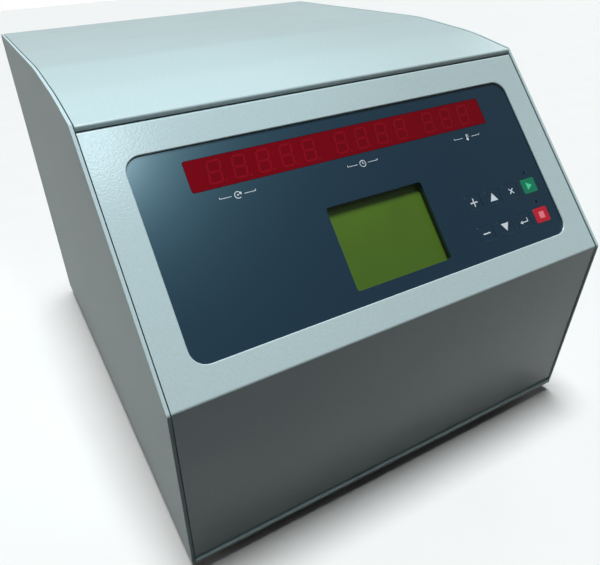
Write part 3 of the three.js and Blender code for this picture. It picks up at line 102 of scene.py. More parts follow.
def linear(colour):
    parts = [int(colour[i:i + 2], 16) / 255 for i in (1, 3, 5)]
    return [p / 12.92 if p <= 0.04045 else ((p + 0.055) / 1.055) ** 2.4 for p in parts] + [1.0]


def addNode(material, kind, inputs=None, **settings):
    node = material.node_tree.nodes.new("ShaderNode" + kind)
    for key, value in settings.items():
        setattr(node, key, value)
    for key, value in (inputs or {}).items():
        if isinstance(value, bpy.types.NodeSocket):
            material.node_tree.links.new(value, node.inputs[key])
        else:
            node.inputs[key].default_value = value
    return node


def perMetre(size):
    return 1 / (size * metre)    # a pattern whose blobs are about this many millimetres wide


# A new material with its object coordinates and one noise for each pair of millimetres and detail
def newMaterial(name, colour, noises=(), inputs=None):
    material = bpy.data.materials.new(name)
    material.use_nodes = True
    shader = material.node_tree.nodes["Principled BSDF"]
    for key, value in {"Base Color": linear(colour), **(inputs or {})}.items():
        shader.inputs[key].default_value = value
    place = addNode(material, "TexCoord").outputs["Object"]
    patterns = []
    for size, detail in noises:
        noise = addNode(material, "TexNoise", {"Vector": place, "Scale": perMetre(size), "Detail": detail})
        patterns.append(noise.outputs["Fac"])
    return material, place, patterns


# Two colours mixed by one pattern, a roughness range spread by another, and bumps one over the other
def dressSurface(material, colours, tone, roughness, gloss, bumps=()):
    links = material.node_tree.links
    shader = material.node_tree.nodes["Principled BSDF"]
    first, second = map(linear, colours)
    mixed = addNode(material, "Mix", {0: tone, 6: first, 7: second}, data_type="RGBA")
    links.new(mixed.outputs[2], shader.inputs["Base Color"])    # sockets: 0 factor, 6 and 7 colours, 2 result
    low, high = roughness
    ranged = addNode(material, "MapRange", {"Value": gloss, "To Min": low, "To Max": high})
    links.new(ranged.outputs["Result"], shader.inputs["Roughness"])
    below = {}
    for height, depth in bumps:
        bump = addNode(material, "Bump", {
            "Height": height, "Distance": depth * metre, "Strength": 1.0, **below,
        })
        below = {"Normal": bump.outputs["Normal"]}
    if bumps:
        links.new(below["Normal"], shader.inputs["Normal"])


# Polyester powder coat: satin, with the fine orange peel that breaks up each highlight, and painted shade in
# the peel's valleys.
# The side panels get a drier mix, so that they stay as dull at a glancing view as in the photo
powderCoat = {"colour": "#C9DEE0", "valleyShade": "#BBD0D3", "cloud": 60, "peel": 1.5, "peelDepth": 0.070,
              "fine": 0.8, "fineDepth": 0.020}


def makePowderCoat(name, roughness, shine):
    noises = (powderCoat["cloud"], 2), (powderCoat["peel"], 1), (powderCoat["fine"], 0)
    inputs = {"Specular IOR Level": shine}
    material, _, (cloud, peel, fine) = newMaterial(name, powderCoat["colour"], noises, inputs)
    bumps = (peel, powderCoat["peelDepth"]), (fine, powderCoat["fineDepth"])
    # Painted shade: where the peel is low, the coat takes the darker colour
    dressSurface(material, (powderCoat["valleyShade"], powderCoat["colour"]), peel, roughness, cloud, bumps)
    return material


# Textured polyester overlay over the console: navy printed from behind, dull satin in front
overlayFilm = {"navy": ("#122D42", "#0F273C"), "green": ("#0D8A60", "#0B7D57"), "red": ("#D8122F", "#C6102A"),
               "roughness": (0.34, 0.40), "cloud": 40, "grain": 0.6, "depth": 0.012, "coatRoughness": 0.24,
               "shine": 0.8, "sheen": "#A8F2FF"}


def makeOverlayFilm(name, colours):
    noises = (overlayFilm["cloud"], 2), (overlayFilm["grain"], 1)
    material, _, (cloud, grain) = newMaterial(name, colours[0], noises, {
        "Coat Weight": 1.0, "Coat Roughness": overlayFilm["coatRoughness"],
        "Specular IOR Level": overlayFilm["shine"], "Specular Tint": linear(overlayFilm["sheen"]),
    })
    dressSurface(material, colours, cloud, overlayFilm["roughness"], cloud, [(grain, overlayFilm["depth"])])
    return material


# Cast red acrylic, polished: the colour is in the sheet, so it stays deep under the gloss
acrylic = {"cloud": 34, "haze": 8, "roughness": (0.07, 0.12), "shine": 0.3}


def makeAcrylic(name, *colours):
    noises = (acrylic["cloud"], 2), (acrylic["haze"], 2)
    inputs = {"Specular IOR Level": acrylic["shine"]}
    material, _, (cloud, haze) = newMaterial(name, colours[0], noises, inputs)
    dressSurface(material, colours, cloud, acrylic["roughness"], haze)
    return material


# Reflective liquid crystal behind glass: olive yellow-green, with painted shade that makes it a little darker
# towards its foot
lcdFace = {"colours": ("#5C8019", "#4A6B1E"), "shade": 0.75, "cloud": 30, "haze": 3,
           "roughness": (0.30, 0.42), "glass": 0.5, "glassRoughness": 0.12}


def makeLcdFace():
    noises = (lcdFace["cloud"], 2), (lcdFace["haze"], 2)
    material, place, (cloud, haze) = newMaterial("olive liquid crystal", lcdFace["colours"][0], noises, {
        "Coat Weight": lcdFace["glass"], "Coat Roughness": lcdFace["glassRoughness"],
    })
    low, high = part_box("lcd_module")
    # Painted shade: from its top down to its foot the face is mixed towards the darker colour, broken up by
    # the cloud
    height = addNode(material, "SeparateXYZ", {"Vector": place}).outputs["Z"]
    rise = addNode(material, "MapRange", {"Value": height, "From Min": low.z, "From Max": high.z})
    share = addNode(material, "Math", {0: rise.outputs["Result"], 1: lcdFace["shade"]}, operation="MULTIPLY")
    whole = addNode(material, "Math", {0: share.outputs["Value"], 1: cloud}, operation="MULTIPLY")
    fade = addNode(material, "Math", {0: 1.0, 1: whole.outputs["Value"]}, operation="SUBTRACT")
    dressSurface(material, lcdFace["colours"], fade.outputs["Value"], lcdFace["roughness"], haze)
    return material


# Screen ink on the overlay: flat and a little rough at its edges
ink = {"edge": 1.2, "grain": 2, "roughness": (0.42, 0.58)}


def makeInk(name, *colours):
    material, _, (edge, grain) = newMaterial(name, colours[0], ((ink["edge"], 2), (ink["grain"], 2)))
    dressSurface(material, colours, edge, ink["roughness"], grain)
    return material


# Moulded plastic, rubber or bead-blasted metal: a fine even grain, seen as a soft break in the shine
def makeMoulded(name, *colours, roughness, grain, depth, cloud=14, metallic=0.0):
    noises = (cloud, 2), (grain, 1)
    material, _, (tone, pits) = newMaterial(name, colours[0], noises, {"Metallic": metallic})
    dressSurface(material, colours, tone, roughness, tone, [(pits, depth)])
    return material


# Sheet metal with a drawn grain: the noise is stretched along the rolling direction
def makeRolled(name, *colours, roughness, grain, depth, stretch=(1, 1, 1), cloud=18):
    material, place, (tone,) = newMaterial(name, colours[0], [(cloud, 2)], {"Metallic": 1.0})
    drawn = addNode(material, "Mapping", {"Vector": place, "Scale": stretch}).outputs["Vector"]
    lines = addNode(material, "TexNoise", {
        "Vector": drawn, "Scale": perMetre(grain), "Detail": 3.0,
    }).outputs["Fac"]
    dressSurface(material, colours, tone, roughness, lines, [(lines, depth)])
    return material


# Turned metal: the tool's marks run round the rotor's axis, so the noise reads radius and height only
def makeTurned(name, *colours, roughness, grain, depth, cloud=25):
    material, place, (tone,) = newMaterial(name, colours[0], [(cloud, 2)], {"Metallic": 1.0})
    axis = (0, chamberY * metre, 0)
    centred = addNode(material, "VectorMath", {0: place, 1: axis}, operation="SUBTRACT").outputs["Vector"]
    split = addNode(material, "SeparateXYZ", {"Vector": centred}).outputs
    flat = addNode(material, "CombineXYZ", {"X": split["X"], "Y": split["Y"]}).outputs["Vector"]
    radius = addNode(material, "VectorMath", {0: flat}, operation="LENGTH").outputs["Value"]
    marks = addNode(material, "CombineXYZ", {"X": radius, "Y": split["Z"]}).outputs["Vector"]
    lines = addNode(material, "TexNoise", {
        "Vector": marks, "Scale": perMetre(grain), "Detail": 4.0, "Roughness": 0.6,
    }).outputs["Fac"]
    dressSurface(material, colours, tone, roughness, lines, [(lines, depth)])
    return material


# Circuit board: green solder resist over copper tracks that stand a little proud
solderResist = {"colours": ("#1E5A3C", "#2F7A4E"), "roughness": (0.30, 0.45), "coat": 0.3,
                "coatRoughness": 0.2, "pitch": 9, "gap": 0.06, "row": 0.3, "depth": 0.03}


def makeCircuitBoard():
    material, place, _ = newMaterial("green solder resist", solderResist["colours"][0], (), {
        "Coat Weight": solderResist["coat"], "Coat Roughness": solderResist["coatRoughness"],
    })
    tracks = addNode(material, "TexBrick", {
        "Vector": place, "Color1": (1, 1, 1, 1), "Color2": (0.7, 0.7, 0.7, 1), "Mortar": (0, 0, 0, 1),
        "Scale": perMetre(solderResist["pitch"]), "Mortar Size": solderResist["gap"],
        "Row Height": solderResist["row"],
    }).outputs["Fac"]
    bumps = [(tracks, solderResist["depth"])]
    dressSurface(material, solderResist["colours"], tracks, solderResist["roughness"], tracks, bumps)
    return material


paint = makePowderCoat("satin powder coat", roughness=(0.19, 0.26), shine=0.32)
dryPaint = makePowderCoat("dry powder coat", roughness=(0.46, 0.54), shine=0.18)
film = makeOverlayFilm("navy overlay film", overlayFilm["navy"])
greenFilm = makeOverlayFilm("green key print", overlayFilm["green"])
redFilm = makeOverlayFilm("red key print", overlayFilm["red"])
redAcrylic = makeAcrylic("red acrylic", "#850014", "#760010")
redBlocks = makeAcrylic("digit blocks behind red acrylic", "#7D0213", "#730111")
redSegments = makeAcrylic("segments behind red acrylic", "#92091C", "#880719")
darkLens = makeAcrylic("dark indicator lens", "#141216", "#1A171B")
lcdGreen = makeLcdFace()
whiteInk = makeInk("white screen ink", "#E6F0F8", "#D8E2EA")
greenInk = makeInk("pale green ink", "#5FE0AC", "#50D29C")
redInk = makeInk("pale red ink", "#FF8C9A", "#F57B8A")
blackPlastic = makeMoulded("black moulded plastic", "#1B1C1E", "#222326",
                           roughness=(0.42, 0.55), grain=0.5, depth=0.02)
blackRubber = makeMoulded("black nitrile rubber", "#17181A", "#1F2022",
                          roughness=(0.62, 0.80), grain=0.9, depth=0.03)
darkSeal = makeMoulded("grey silicone seal", "#3A3D40", "#424548",
                       roughness=(0.50, 0.65), grain=0.8, depth=0.02)
whiteLiner = makeMoulded("off-white formed plastic", "#D5D8D4", "#CED2CF",
                         roughness=(0.40, 0.50), grain=0.9, depth=0.015)
stainless = makeTurned("spun stainless steel", "#C9CAC7", "#BDBFBC",
                       roughness=(0.18, 0.34), grain=0.5, depth=0.004)
turnedAluminium = makeTurned("turned aluminium", "#C2C5C8", "#B6B9BD",
                             roughness=(0.28, 0.42), grain=0.6, depth=0.004)
anodised = makeMoulded("bead-blasted anodised aluminium", "#A9ADB1", "#B3B7BA",
                       roughness=(0.38, 0.50), grain=0.4, depth=0.01, metallic=1.0)
zincSteel = makeRolled("zinc plated steel", "#AEB2B4", "#9FA5AA",
                       roughness=(0.30, 0.50), grain=1.2, depth=0.006, stretch=(1, 1, 0.15))
darkSteel = makeRolled("hot rolled steel", "#5C6063", "#4C5053",
                       roughness=(0.50, 0.70), grain=2.5, depth=0.02)
screwSteel = makeRolled("nickel plated screw steel", "#B9BBBA", "#A6A9A8",
                        roughness=(0.20, 0.35), grain=0.8, depth=0.004)
brassPins = makeRolled("nickel plated brass", "#C6BFA9", "#B8B098",
                       roughness=(0.22, 0.35), grain=0.6, depth=0.003, stretch=(1, 0.2, 1))
circuitBoard = makeCircuitBoard()


# Every node of the frame gets its finish; most are then stood for by a finer piece
nodeFinish = {
    paint: "base_plate front_panel rear_panel deck_plate lid_shell",
    dryPaint: "left_side_panel right_side_panel",
    film: "membrane_panel key_plus key_up key_clear key_minus key_down key_enter",
    greenFilm: "key_start",
    redFilm: "key_stop",
    redAcrylic: "display_window",
    lcdGreen: "lcd_module",
    circuitBoard: "display_board key_board",
    blackRubber: "lcd_gasket front_left_foot front_right_foot rear_left_foot rear_right_foot "
                 "motor_damper_1 motor_damper_2 motor_damper_3 shaft_boot",
    darkSeal: "chamber_seal",
    blackPlastic: "lock_housing fan_frame fan_impeller mains_inlet switch_bezel power_rocker",
    whiteLiner: "lid_liner",
    stainless: "chamber_bowl drive_shaft rotor_nut temperature_probe",
    turnedAluminium: "drive_motor",
    anodised: "rotor_yoke bucket_1 bucket_2 bucket_3 bucket_4 drive_unit",
    darkSteel: "guard_ring",
    zincSteel: "lid_striker lock_bolt chamber_support motor_stand fan_guard hinge_pin_left hinge_pin_right "
               "hinge_fixed_leaf_left hinge_fixed_leaf_right hinge_lid_leaf_left hinge_lid_leaf_right",
}
bodyOf = {node: body for body, nodes in frame["record"]["behaviour"]["bodies"].items() for node in nodes}
finishOf = {node: material for material, nodes in nodeFinish.items() for node in nodes.split()}
for node, material in finishOf.items():
    mesh = frame["nodes"][node].data
    mesh.materials.clear()
    mesh.materials.append(material)
print("finishes are on", len(finishOf), "nodes")


# Making pieces

def plainName(node):
    first, *rest = node.split("_")
    return first + "".join(word.capitalize() for word in rest)


def finishPiece(name, bm, body, material, stoodFor=None, sharpAbove=38):
    bmesh.ops.scale(bm, vec=[metre] * 3, verts=bm.verts)
    sharp = math.radians(sharpAbove)
    for face in bm.faces:
        face.smooth = True
    for edge in bm.edges:
        edge.smooth = len(edge.link_faces) == 2 and edge.calc_face_angle(0) < sharp
    mesh = bpy.data.meshes.new(name)
    bm.to_mesh(mesh)
    bm.free()
    mesh.materials.append(material)
    piece = addObject(name, mesh)
    normals = piece.modifiers.new("flat faces stay flat", "WEIGHTED_NORMAL")
    normals.keep_sharp = True
    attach(piece, body)
    if stoodFor:
        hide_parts(stoodFor)


# A finer piece takes the body and the finish of the node that it stands for
def standIn(node, bm, sharpAbove=38):
    finishPiece(plainName(node), bm, bodyOf[node], finishOf[node], node, sharpAbove)


def moved(bm, matrix):
    bmesh.ops.transform(bm, matrix=matrix, verts=bm.verts)
    return bm


def solidCopy(node, weld=0.004, flatWithin=1):
    bm = bmesh.new()
    bm.from_mesh(frame["nodes"][node].data)
    bmesh.ops.scale(bm, vec=[1 / metre] * 3, verts=bm.verts)
    bmesh.ops.remove_doubles(bm, verts=bm.verts, dist=weld)
    bmesh.ops.dissolve_limit(bm, angle_limit=math.radians(flatWithin), verts=bm.verts, edges=bm.edges)
    return bm


# Rounds every edge that turns by more than some degrees and has both ends where they are wanted
def softenEdges(bm, width, segments=2, above=32, where=lambda end: True):
    angle = math.radians(above)
    edges = [e for e in bm.edges if len(e.link_faces) == 2 and e.calc_face_angle(0) > angle
             and all(where(v.co) for v in e.verts)]
    bmesh.ops.bevel(bm, geom=edges, offset=width, offset_type="OFFSET", segments=segments,
                    profile=0.5, affect="EDGES", material=-1, clamp_overlap=True)


# Pieces whose solid is right get fine rounded edges: millimetres of radius for each
edgeRadius = {
    "left_side_panel": 0.45, "right_side_panel": 0.45, "base_plate": 0.6, "deck_plate": 0.35,
    "rear_panel": 0.35, "membrane_panel": 0.2, "lid_liner": 0.5, "lid_striker": 0.3, "lock_bolt": 0.4,
    "lock_housing": 0.5, "fan_frame": 0.5, "fan_impeller": 0.25, "mains_inlet": 0.35, "switch_bezel": 0.35,
    "power_rocker": 0.5, "lcd_gasket": 0.2, "temperature_probe": 0.4, "chamber_support": 0.5,
    "motor_stand": 0.5, "drive_unit": 0.4, "display_board": 0.2, "key_board": 0.2,
}


def refineNodes():
    for node, radius in edgeRadius.items():
        bm = solidCopy(node)
        softenEdges(bm, radius)
        standIn(node, bm)
    print("rounded the edges of", len(edgeRadius), "pieces")


# Small shapes that are put together into one piece

def addPart(bm, part, matrix=Matrix()):
    mesh = bpy.data.meshes.new("part of a piece")
    moved(part, matrix).to_mesh(mesh)
    part.free()
    bm.from_mesh(mesh)
    bpy.data.meshes.remove(mesh)


def at(x, y, turn=0.0, z=0.0):
    return Matrix.Translation((x, y, z)) @ Matrix.Rotation(math.radians(turn), 4, "Z")


def plate(length, width, low, high, corner=0.0, steps=4):
    part = bmesh.new()
    bmesh.ops.create_cube(part, size=1)
    bmesh.ops.scale(part, vec=(length, width, high - low), verts=part.verts)
    bmesh.ops.translate(part, vec=(0, 0, (low + high) / 2), verts=part.verts)
    if corner:
        uprights = [e for e in part.edges if abs((e.verts[0].co - e.verts[1].co).z) > (high - low) / 2]
        bmesh.ops.bevel(part, geom=uprights, offset=corner, offset_type="OFFSET", segments=steps,
                        profile=0.5, affect="EDGES", material=-1)
    return part


def disc(radius, low, high, sides=32):
    part = bmesh.new()
    bmesh.ops.create_cone(part, cap_ends=True, segments=sides, radius1=radius, radius2=radius,
                          depth=high - low)
    bmesh.ops.translate(part, vec=(0, 0, (low + high) / 2), verts=part.verts)
    return part


def band(radius, width, low, high, sweep, steps=32):
    part = bmesh.new()
    bmesh.ops.create_grid(part, x_segments=1, y_segments=1, size=0.5)
    bmesh.ops.scale(part, vec=(width, high - low, 1), verts=part.verts)
    bmesh.ops.rotate(part, matrix=Matrix.Rotation(math.pi / 2, 3, "X"), verts=part.verts)
    bmesh.ops.translate(part, vec=(radius, 0, (low + high) / 2), verts=part.verts)
    bmesh.ops.spin(part, geom=part.verts[:] + part.edges[:] + part.faces[:], cent=(0, 0, 0), axis=zAxis,
                   angle=math.radians(sweep), steps=steps)
    bmesh.ops.recalc_face_normals(part, faces=part.faces)
    return part


# Turned pieces, spun from half a section given as radius and height
def turnedPiece(section, centre=(0, chamberY), steps=96):
    bm = bmesh.new()
    points = [bm.verts.new((centre[0] + radius, centre[1], height)) for radius, height in section]
    edges = [bm.edges.new(pair) for pair in zip(points, points[1:])]
    bmesh.ops.spin(bm, geom=points + edges, cent=(*centre, 0), axis=zAxis, angle=math.tau, steps=steps,
                   use_merge=True)
    bmesh.ops.remove_doubles(bm, verts=bm.verts, dist=0.001)
    bmesh.ops.recalc_face_normals(bm, faces=bm.faces)
    return bm


def quarterArc(centre, radius, start, end, steps=8):
    angles = [math.radians(start + (end - start) * i / steps) for i in range(steps + 1)]
    return [(centre[0] + radius * math.cos(a), centre[1] + radius * math.sin(a)) for a in angles]


# Screws: a button head with a hexagon socket, given in shares of its radius and its height
button = {"sides": 24, "side": 0.55, "dome": ((0.12, 0.3), (0.2, 0.15), (0.16, 0.0)), "socket": 0.42,
          "wall": 0.02, "sink": 0.6}


def screwHead(radius, height):
    part = bmesh.new()
    bmesh.ops.create_circle(part, cap_ends=True, radius=radius, segments=button["sides"])
    raised = bmesh.ops.extrude_face_region(part, geom=part.faces[:])["geom"]
    top = [item for item in raised if isinstance(item, bmesh.types.BMFace)][0]
    bmesh.ops.translate(part, vec=(0, 0, height * button["side"]), verts=top.verts)
    for inset, rise in button["dome"]:
        bmesh.ops.inset_region(part, faces=[top], thickness=radius * inset)
        bmesh.ops.translate(part, vec=(0, 0, height * rise), verts=top.verts)
    for vert in top.verts:    # the innermost ring is drawn out to a hexagon
        angle = math.atan2(vert.co.y, vert.co.x)
        side = (angle + math.pi / 6) % (math.pi / 3) - math.pi / 6
        reach = radius * button["socket"] / math.cos(side)
        vert.co.x, vert.co.y = reach * math.cos(angle), reach * math.sin(angle)
    bmesh.ops.inset_region(part, faces=[top], thickness=radius * button["wall"])
    bmesh.ops.translate(part, vec=(0, 0, -height * button["sink"]), verts=top.verts)
    bmesh.ops.recalc_face_normals(part, faces=part.faces)
    return part


# A set of like screws; size is the head's radius and height
def screwSet(name, body, places, direction, size):
    bm = bmesh.new()
    for place in places:
        addPart(bm, screwHead(*size), Matrix.Translation(place) @ facing(direction))
    finishPiece(name, bm, body, screwSteel, sharpAbove=50)


# Console: x runs across from the middle, y up the slope from the console's top edge, z out of it
console = {"place": (0, -137.656, 326.247), "slope": 50.0227, "film": -1.8, "inkSunk": 0.06, "inkRise": 0.035}
onConsole = Matrix.Translation(console["place"]) @ Matrix.Rotation(math.radians(console["slope"]), 4, "X")


# Front panel: the paint builds up on the cut edge round the film, so that edge is rounder than the rest
frontPanel = {"edge": 0.35, "opening": 0.85, "reach": 190, "faceWithin": 0.05}


def makeFrontPanel():
    bm = moved(solidCopy("front_panel"), onConsole.inverted())
    softenEdges(bm, frontPanel["opening"], segments=3, above=57,
                where=lambda end: abs(end.z) < frontPanel["faceWithin"] and abs(end.x) < frontPanel["reach"])
    softenEdges(bm, frontPanel["edge"], above=40)
    standIn("front_panel", moved(bm, onConsole))


# Lid: one folded sheet, with a wide rolled bend above its front lip
lid = {"edge": 0.4, "bend": 3.2, "lipFront": -137.0, "lipTop": 330.5}


def makeLidShell():
    bm = solidCopy("lid_shell")
    softenEdges(bm, lid["bend"], segments=6, above=28,
                where=lambda end: end.y < lid["lipFront"] and end.z > lid["lipTop"])
    softenEdges(bm, lid["edge"], above=40)
    standIn("lid_shell", bm)


# Signs are drawn in strokes: a shape, its sizes, its place and turn, and by how many hairs it lies
# lower than the first, so that the faces of strokes that cross never coincide. A bar has a length, a
# width and a corner, a triangle a radius and a share of its height, a dot a radius and a number of
# sides, and an arc a radius, a width and a sweep
hair = 0.01


def addStrokes(bm, place, low, high, strokes):
    for shape, size, spot, hairs in strokes:
        levels = low - hair * hairs, high - hair * hairs
        if shape == "bar":
            part = plate(*size[:2], *levels, *size[2:])
        elif shape == "arc":
            part = band(*size[:2], *levels, *size[2:])
        elif shape == "triangle":
            part = moved(disc(size[0], *levels, sides=3), Matrix.Diagonal((1, size[1], 1, 1)))
        else:
            part = disc(size[0], *levels, sides=size[1])
        addPart(bm, part, place @ at(*spot))


# Keys: film domes that fill their holes but for a hair line, with a soft edge
keys = {"width": 16.4, "height": 13.4, "corner": 1.7, "thickness": 2.3, "pitch": (21.5, 27.6),
        "first": (90.7, -122.42), "soft": 0.5, "pillow": 0.05, "inkRise": 0.03}
keyNames = ("plus", "up", "clear", "start"), ("minus", "down", "enter", "stop")
keySigns = {
    "plus": (whiteInk, [("bar", (7.4, 1.1), (0, 0), 0), ("bar", (7.4, 1.1), (0, 0, 90), 1)]),
    "up": (whiteInk, [("triangle", (4.9, 0.94), (0, -1.2), 0)]),
    "clear": (whiteInk, [("bar", (6.6, 0.9), (0, 0, 45), 0), ("bar", (6.6, 0.9), (0, 0, -45), 1)]),
    "start": (greenInk, [("triangle", (4.0, 1), (-0.8, 0, -90), 0)]),
    "minus": (whiteInk, [("bar", (7.4, 1.1), (0, 0), 0)]),
    "down": (whiteInk, [("triangle", (4.9, 0.94), (0, 1.2, 180), 0)]),
    "enter": (whiteInk, [("bar", (7.2, 0.8), (0.4, -1.2), 0), ("bar", (0.8, 3.6), (3.6, 0.4), 1),
                         ("triangle", (1.9, 1), (-3.2, -1.2, 90), 2)]),
    "stop": (redInk, [("bar", (6, 6, 0.5), (0, 0), 0)]),
}


def keySpot(row, column):
    return keys["first"][0] + column * keys["pitch"][0], keys["first"][1] - row * keys["pitch"][1]


def makeKeys():
    top = console["film"] + keys["pillow"]
    low = top - keys["thickness"]
    for row, names in enumerate(keyNames):
        for column, name in enumerate(names):
            node, place = "key_" + name, at(*keySpot(row, column))
            cap = moved(plate(keys["width"], keys["height"], low, top, keys["corner"]), place)
            softenEdges(cap, keys["soft"], segments=3, where=lambda end: end.z > top - hair)
            standIn(node, moved(cap, onConsole))
            colour, strokes = keySigns[name]
            sign = bmesh.new()
            addStrokes(sign, place, top - console["inkSunk"], top + keys["inkRise"], strokes)
            finishPiece(name + "Sign", moved(sign, onConsole), bodyOf[node], colour)


# Display: red acrylic, with the pale digit blocks and their segments faint behind it
display = {"firstX": -114.4, "y": -46, "groups": (5, 4, 3), "pitch": 19.4, "groupGap": 9.5,
           "block": (15, 20.6), "blockCorner": 0.4, "digit": (9.6, 16.6), "bar": 1.75, "barGap": 0.5,
           "tip": 0.49, "slant": 8, "point": 1.0, "pointAway": 1.4, "sunk": 0.1, "blockRise": 0.006,
           "digitRise": 0.012}


def addDigit(bm, place, levels):
    width, height = display["digit"]
    bar, gap = display["bar"], display["barGap"]
    lean = Matrix.Identity(4)
    lean[0][1] = math.tan(math.radians(display["slant"]))
    bars = [(0, y, width - gap, 0) for y in (-height / 2, 0, height / 2)]
    bars += [(x, y, height / 2 - gap, 90) for x in (-width / 2, width / 2) for y in (-height / 4, height / 4)]
    for x, y, length, turn in bars:
        part = plate(length, bar, *levels, corner=bar * display["tip"], steps=1)
        addPart(bm, part, place @ lean @ at(x, y, turn))
    point = place @ at(width / 2 + display["pointAway"], -height / 2)
    addPart(bm, disc(display["point"], *levels, sides=16), point)


def makeDisplay():
    blocks, segments = bmesh.new(), bmesh.new()
    top = console["film"]
    low = top - display["sunk"]
    x = display["firstX"]
    for group in display["groups"]:
        for _ in range(group):
            place = at(x, display["y"])
            block = plate(*display["block"], low, top + display["blockRise"], corner=display["blockCorner"])
            addPart(blocks, block, place)
            addDigit(segments, place, (low, top + display["digitRise"]))
            x += display["pitch"]
        x += display["groupGap"]
    finishPiece("digitBlocks", moved(blocks, onConsole), "cabinet", redBlocks)
    finishPiece("digitSegments", moved(segments, onConsole), "cabinet", redSegments)


# Signs under the three groups of digits, each between two brackets: a turning arrow for speed, a clock
# face for time and a thermometer for temperature. Each has its x, its turn and its strokes
signs = {
    "y": -66.5,
    "speed": (-104, 20, [("arc", (2.5, 0.55, 290), (0, 0), 0), ("triangle", (1.35, 1), (2.5, 0, 180), 1),
                         ("dot", (0.65, 16), (0, 0, -20), 0)]),
    "time": (3.5, 0, [("arc", (2.6, 0.55, 360), (0, 0), 0), ("bar", (2.1, 0.55), (0, 0.9, 90), 0),
                      ("bar", (1.6, 0.55), (0.6, 0), 1)]),
    "temperature": (112, 0, [("dot", (1.25, 24), (0, -1.7), 0), ("bar", (4.2, 1.0, 0.45), (0, 0.8, 90), 1),
                             *[("bar", (1.1, 0.4), (1.6, rise), 0) for rise in (0.2, 1.3, 2.4)]]),
    "bracket": [("bar", (9, 0.4), (-9.5, 0), 0), ("bar", (1.6, 0.4), (-14, 0.6, 90), 1),
                ("bar", (9, 0.4), (9.5, 0), 0), ("bar", (1.6, 0.4), (14, 0.6, 90), 1)],
}


def makeSigns():
    bm = bmesh.new()
    low, high = console["film"] - console["inkSunk"], console["film"] + console["inkRise"]
    for name in ("speed", "time", "temperature"):
        x, turn, strokes = signs[name]
        addStrokes(bm, at(x, signs["y"], turn), low, high, strokes)
        addStrokes(bm, at(x, signs["y"]), low, high, signs["bracket"])
    finishPiece("membraneSigns", moved(bm, onConsole), "cabinet", whiteInk)


# Indicator lamps: small dark lenses sunk in the film above the start and stop keys
indicator = {"radius": 1.05, "rise": 12.3, "sunk": 0.25}


def makeIndicators():
    bm = bmesh.new()
    for row in (0, 1):
        x, y = keySpot(row, 3)
        part = bmesh.new()
        bmesh.ops.create_uvsphere(part, u_segments=24, v_segments=12, radius=indicator["radius"])
        depth = console["film"] - indicator["sunk"] - indicator["radius"]
        addPart(bm, part, at(x, y + indicator["rise"], z=depth))
    finishPiece("indicatorLenses", moved(bm, onConsole), "cabinet", darkLens)


# Chamber: a spun bowl with a rolled rim, and a seal on the rim
chamber = {"floor": 152, "wall": 1.5, "radius": 158, "corner": 22, "rim": 168, "rimUnder": 317.3, "hole": 25,
           "edge": 0.5, "sides": 128}
seal = {"inner": 160, "outer": 171, "low": 319.1, "high": 321.3, "crown": 1.5, "edge": 0.3}


def makeChamber():
    wall, floor, corner = chamber["wall"], chamber["floor"], chamber["corner"]
    cornerPlace = (chamber["radius"] - corner, floor + corner)
    rimTop = chamber["rimUnder"] + wall
    section = [
        (chamber["hole"], floor),
        *quarterArc(cornerPlace, corner, -90, 0),
        (chamber["radius"], rimTop), (chamber["rim"], rimTop),
        (chamber["rim"], chamber["rimUnder"]), (chamber["radius"] + wall, chamber["rimUnder"]),
        *quarterArc(cornerPlace, corner + wall, 0, -90),
        (chamber["hole"], floor - wall), (chamber["hole"], floor),
    ]
    bowl = turnedPiece(section, steps=chamber["sides"])
    softenEdges(bowl, chamber["edge"], segments=3, above=50)
    standIn("chamber_bowl", bowl)

    inner, outer, low, high = seal["inner"], seal["outer"], seal["low"], seal["high"]
    middle, half = (inner + outer) / 2, (low + high) / 2
    section = [
        (inner, low), (inner, half), (middle - seal["crown"], high), (middle + seal["crown"], high),
        (outer, half), (outer, low), (inner, low),
    ]
    ring = turnedPiece(section, steps=chamber["sides"])
    softenEdges(ring, seal["edge"], above=20)
    standIn("chamber_seal", ring)


# Feet: rubber cones, each with a screw sunk in its hollow
foot = {"top": 11.7, "topRadius": 18, "bottomRadius": 15, "chamfer": 1.5, "edge": 0.7, "hole": 4,
        "holeTop": 6, "x": 165, "frontY": -204.188, "rearY": 215.812, "screw": (3.3, 1.6)}


def makeFeet():
    top, radius, chamfer = foot["top"], foot["topRadius"], foot["chamfer"]
    section = [
        (0, foot["holeTop"]), (foot["hole"], foot["holeTop"]), (foot["hole"], 0), (foot["bottomRadius"], 0),
        (radius, top - chamfer), (radius - chamfer, top), (0, top),
    ]
    heads = []
    for depth, y in (("front", foot["frontY"]), ("rear", foot["rearY"])):
        for side, x in (("left", -foot["x"]), ("right", foot["x"])):
            bm = turnedPiece(section, (x, y), steps=64)
            softenEdges(bm, foot["edge"], segments=3, above=25)
            standIn(depth + "_" + side + "_foot", bm)
            heads.append((x, y, foot["holeTop"]))
    screwSet("footScrews", "cabinet", heads, (0, 0, -1), foot["screw"])


# Drive: the motor hangs by its flange on three rubber dampers, with a nut on each stud
motor = {"low": 24, "high": 124, "noseHigh": 128, "radius": 50, "nose": 17, "bore": 8.5, "boreLow": 116,
         "groove": 3, "grooves": 3, "pitch": 19.15, "flangeLow": 100.6, "flangeHigh": 106.6, "flange": 88,
         "shoulder": 6, "edge": 0.7, "ring": 72, "studs": (-90, 30, 150), "stud": 3, "studRise": 9,
         "nut": 6.5, "nutRise": 5.5, "nutEdge": 0.4}


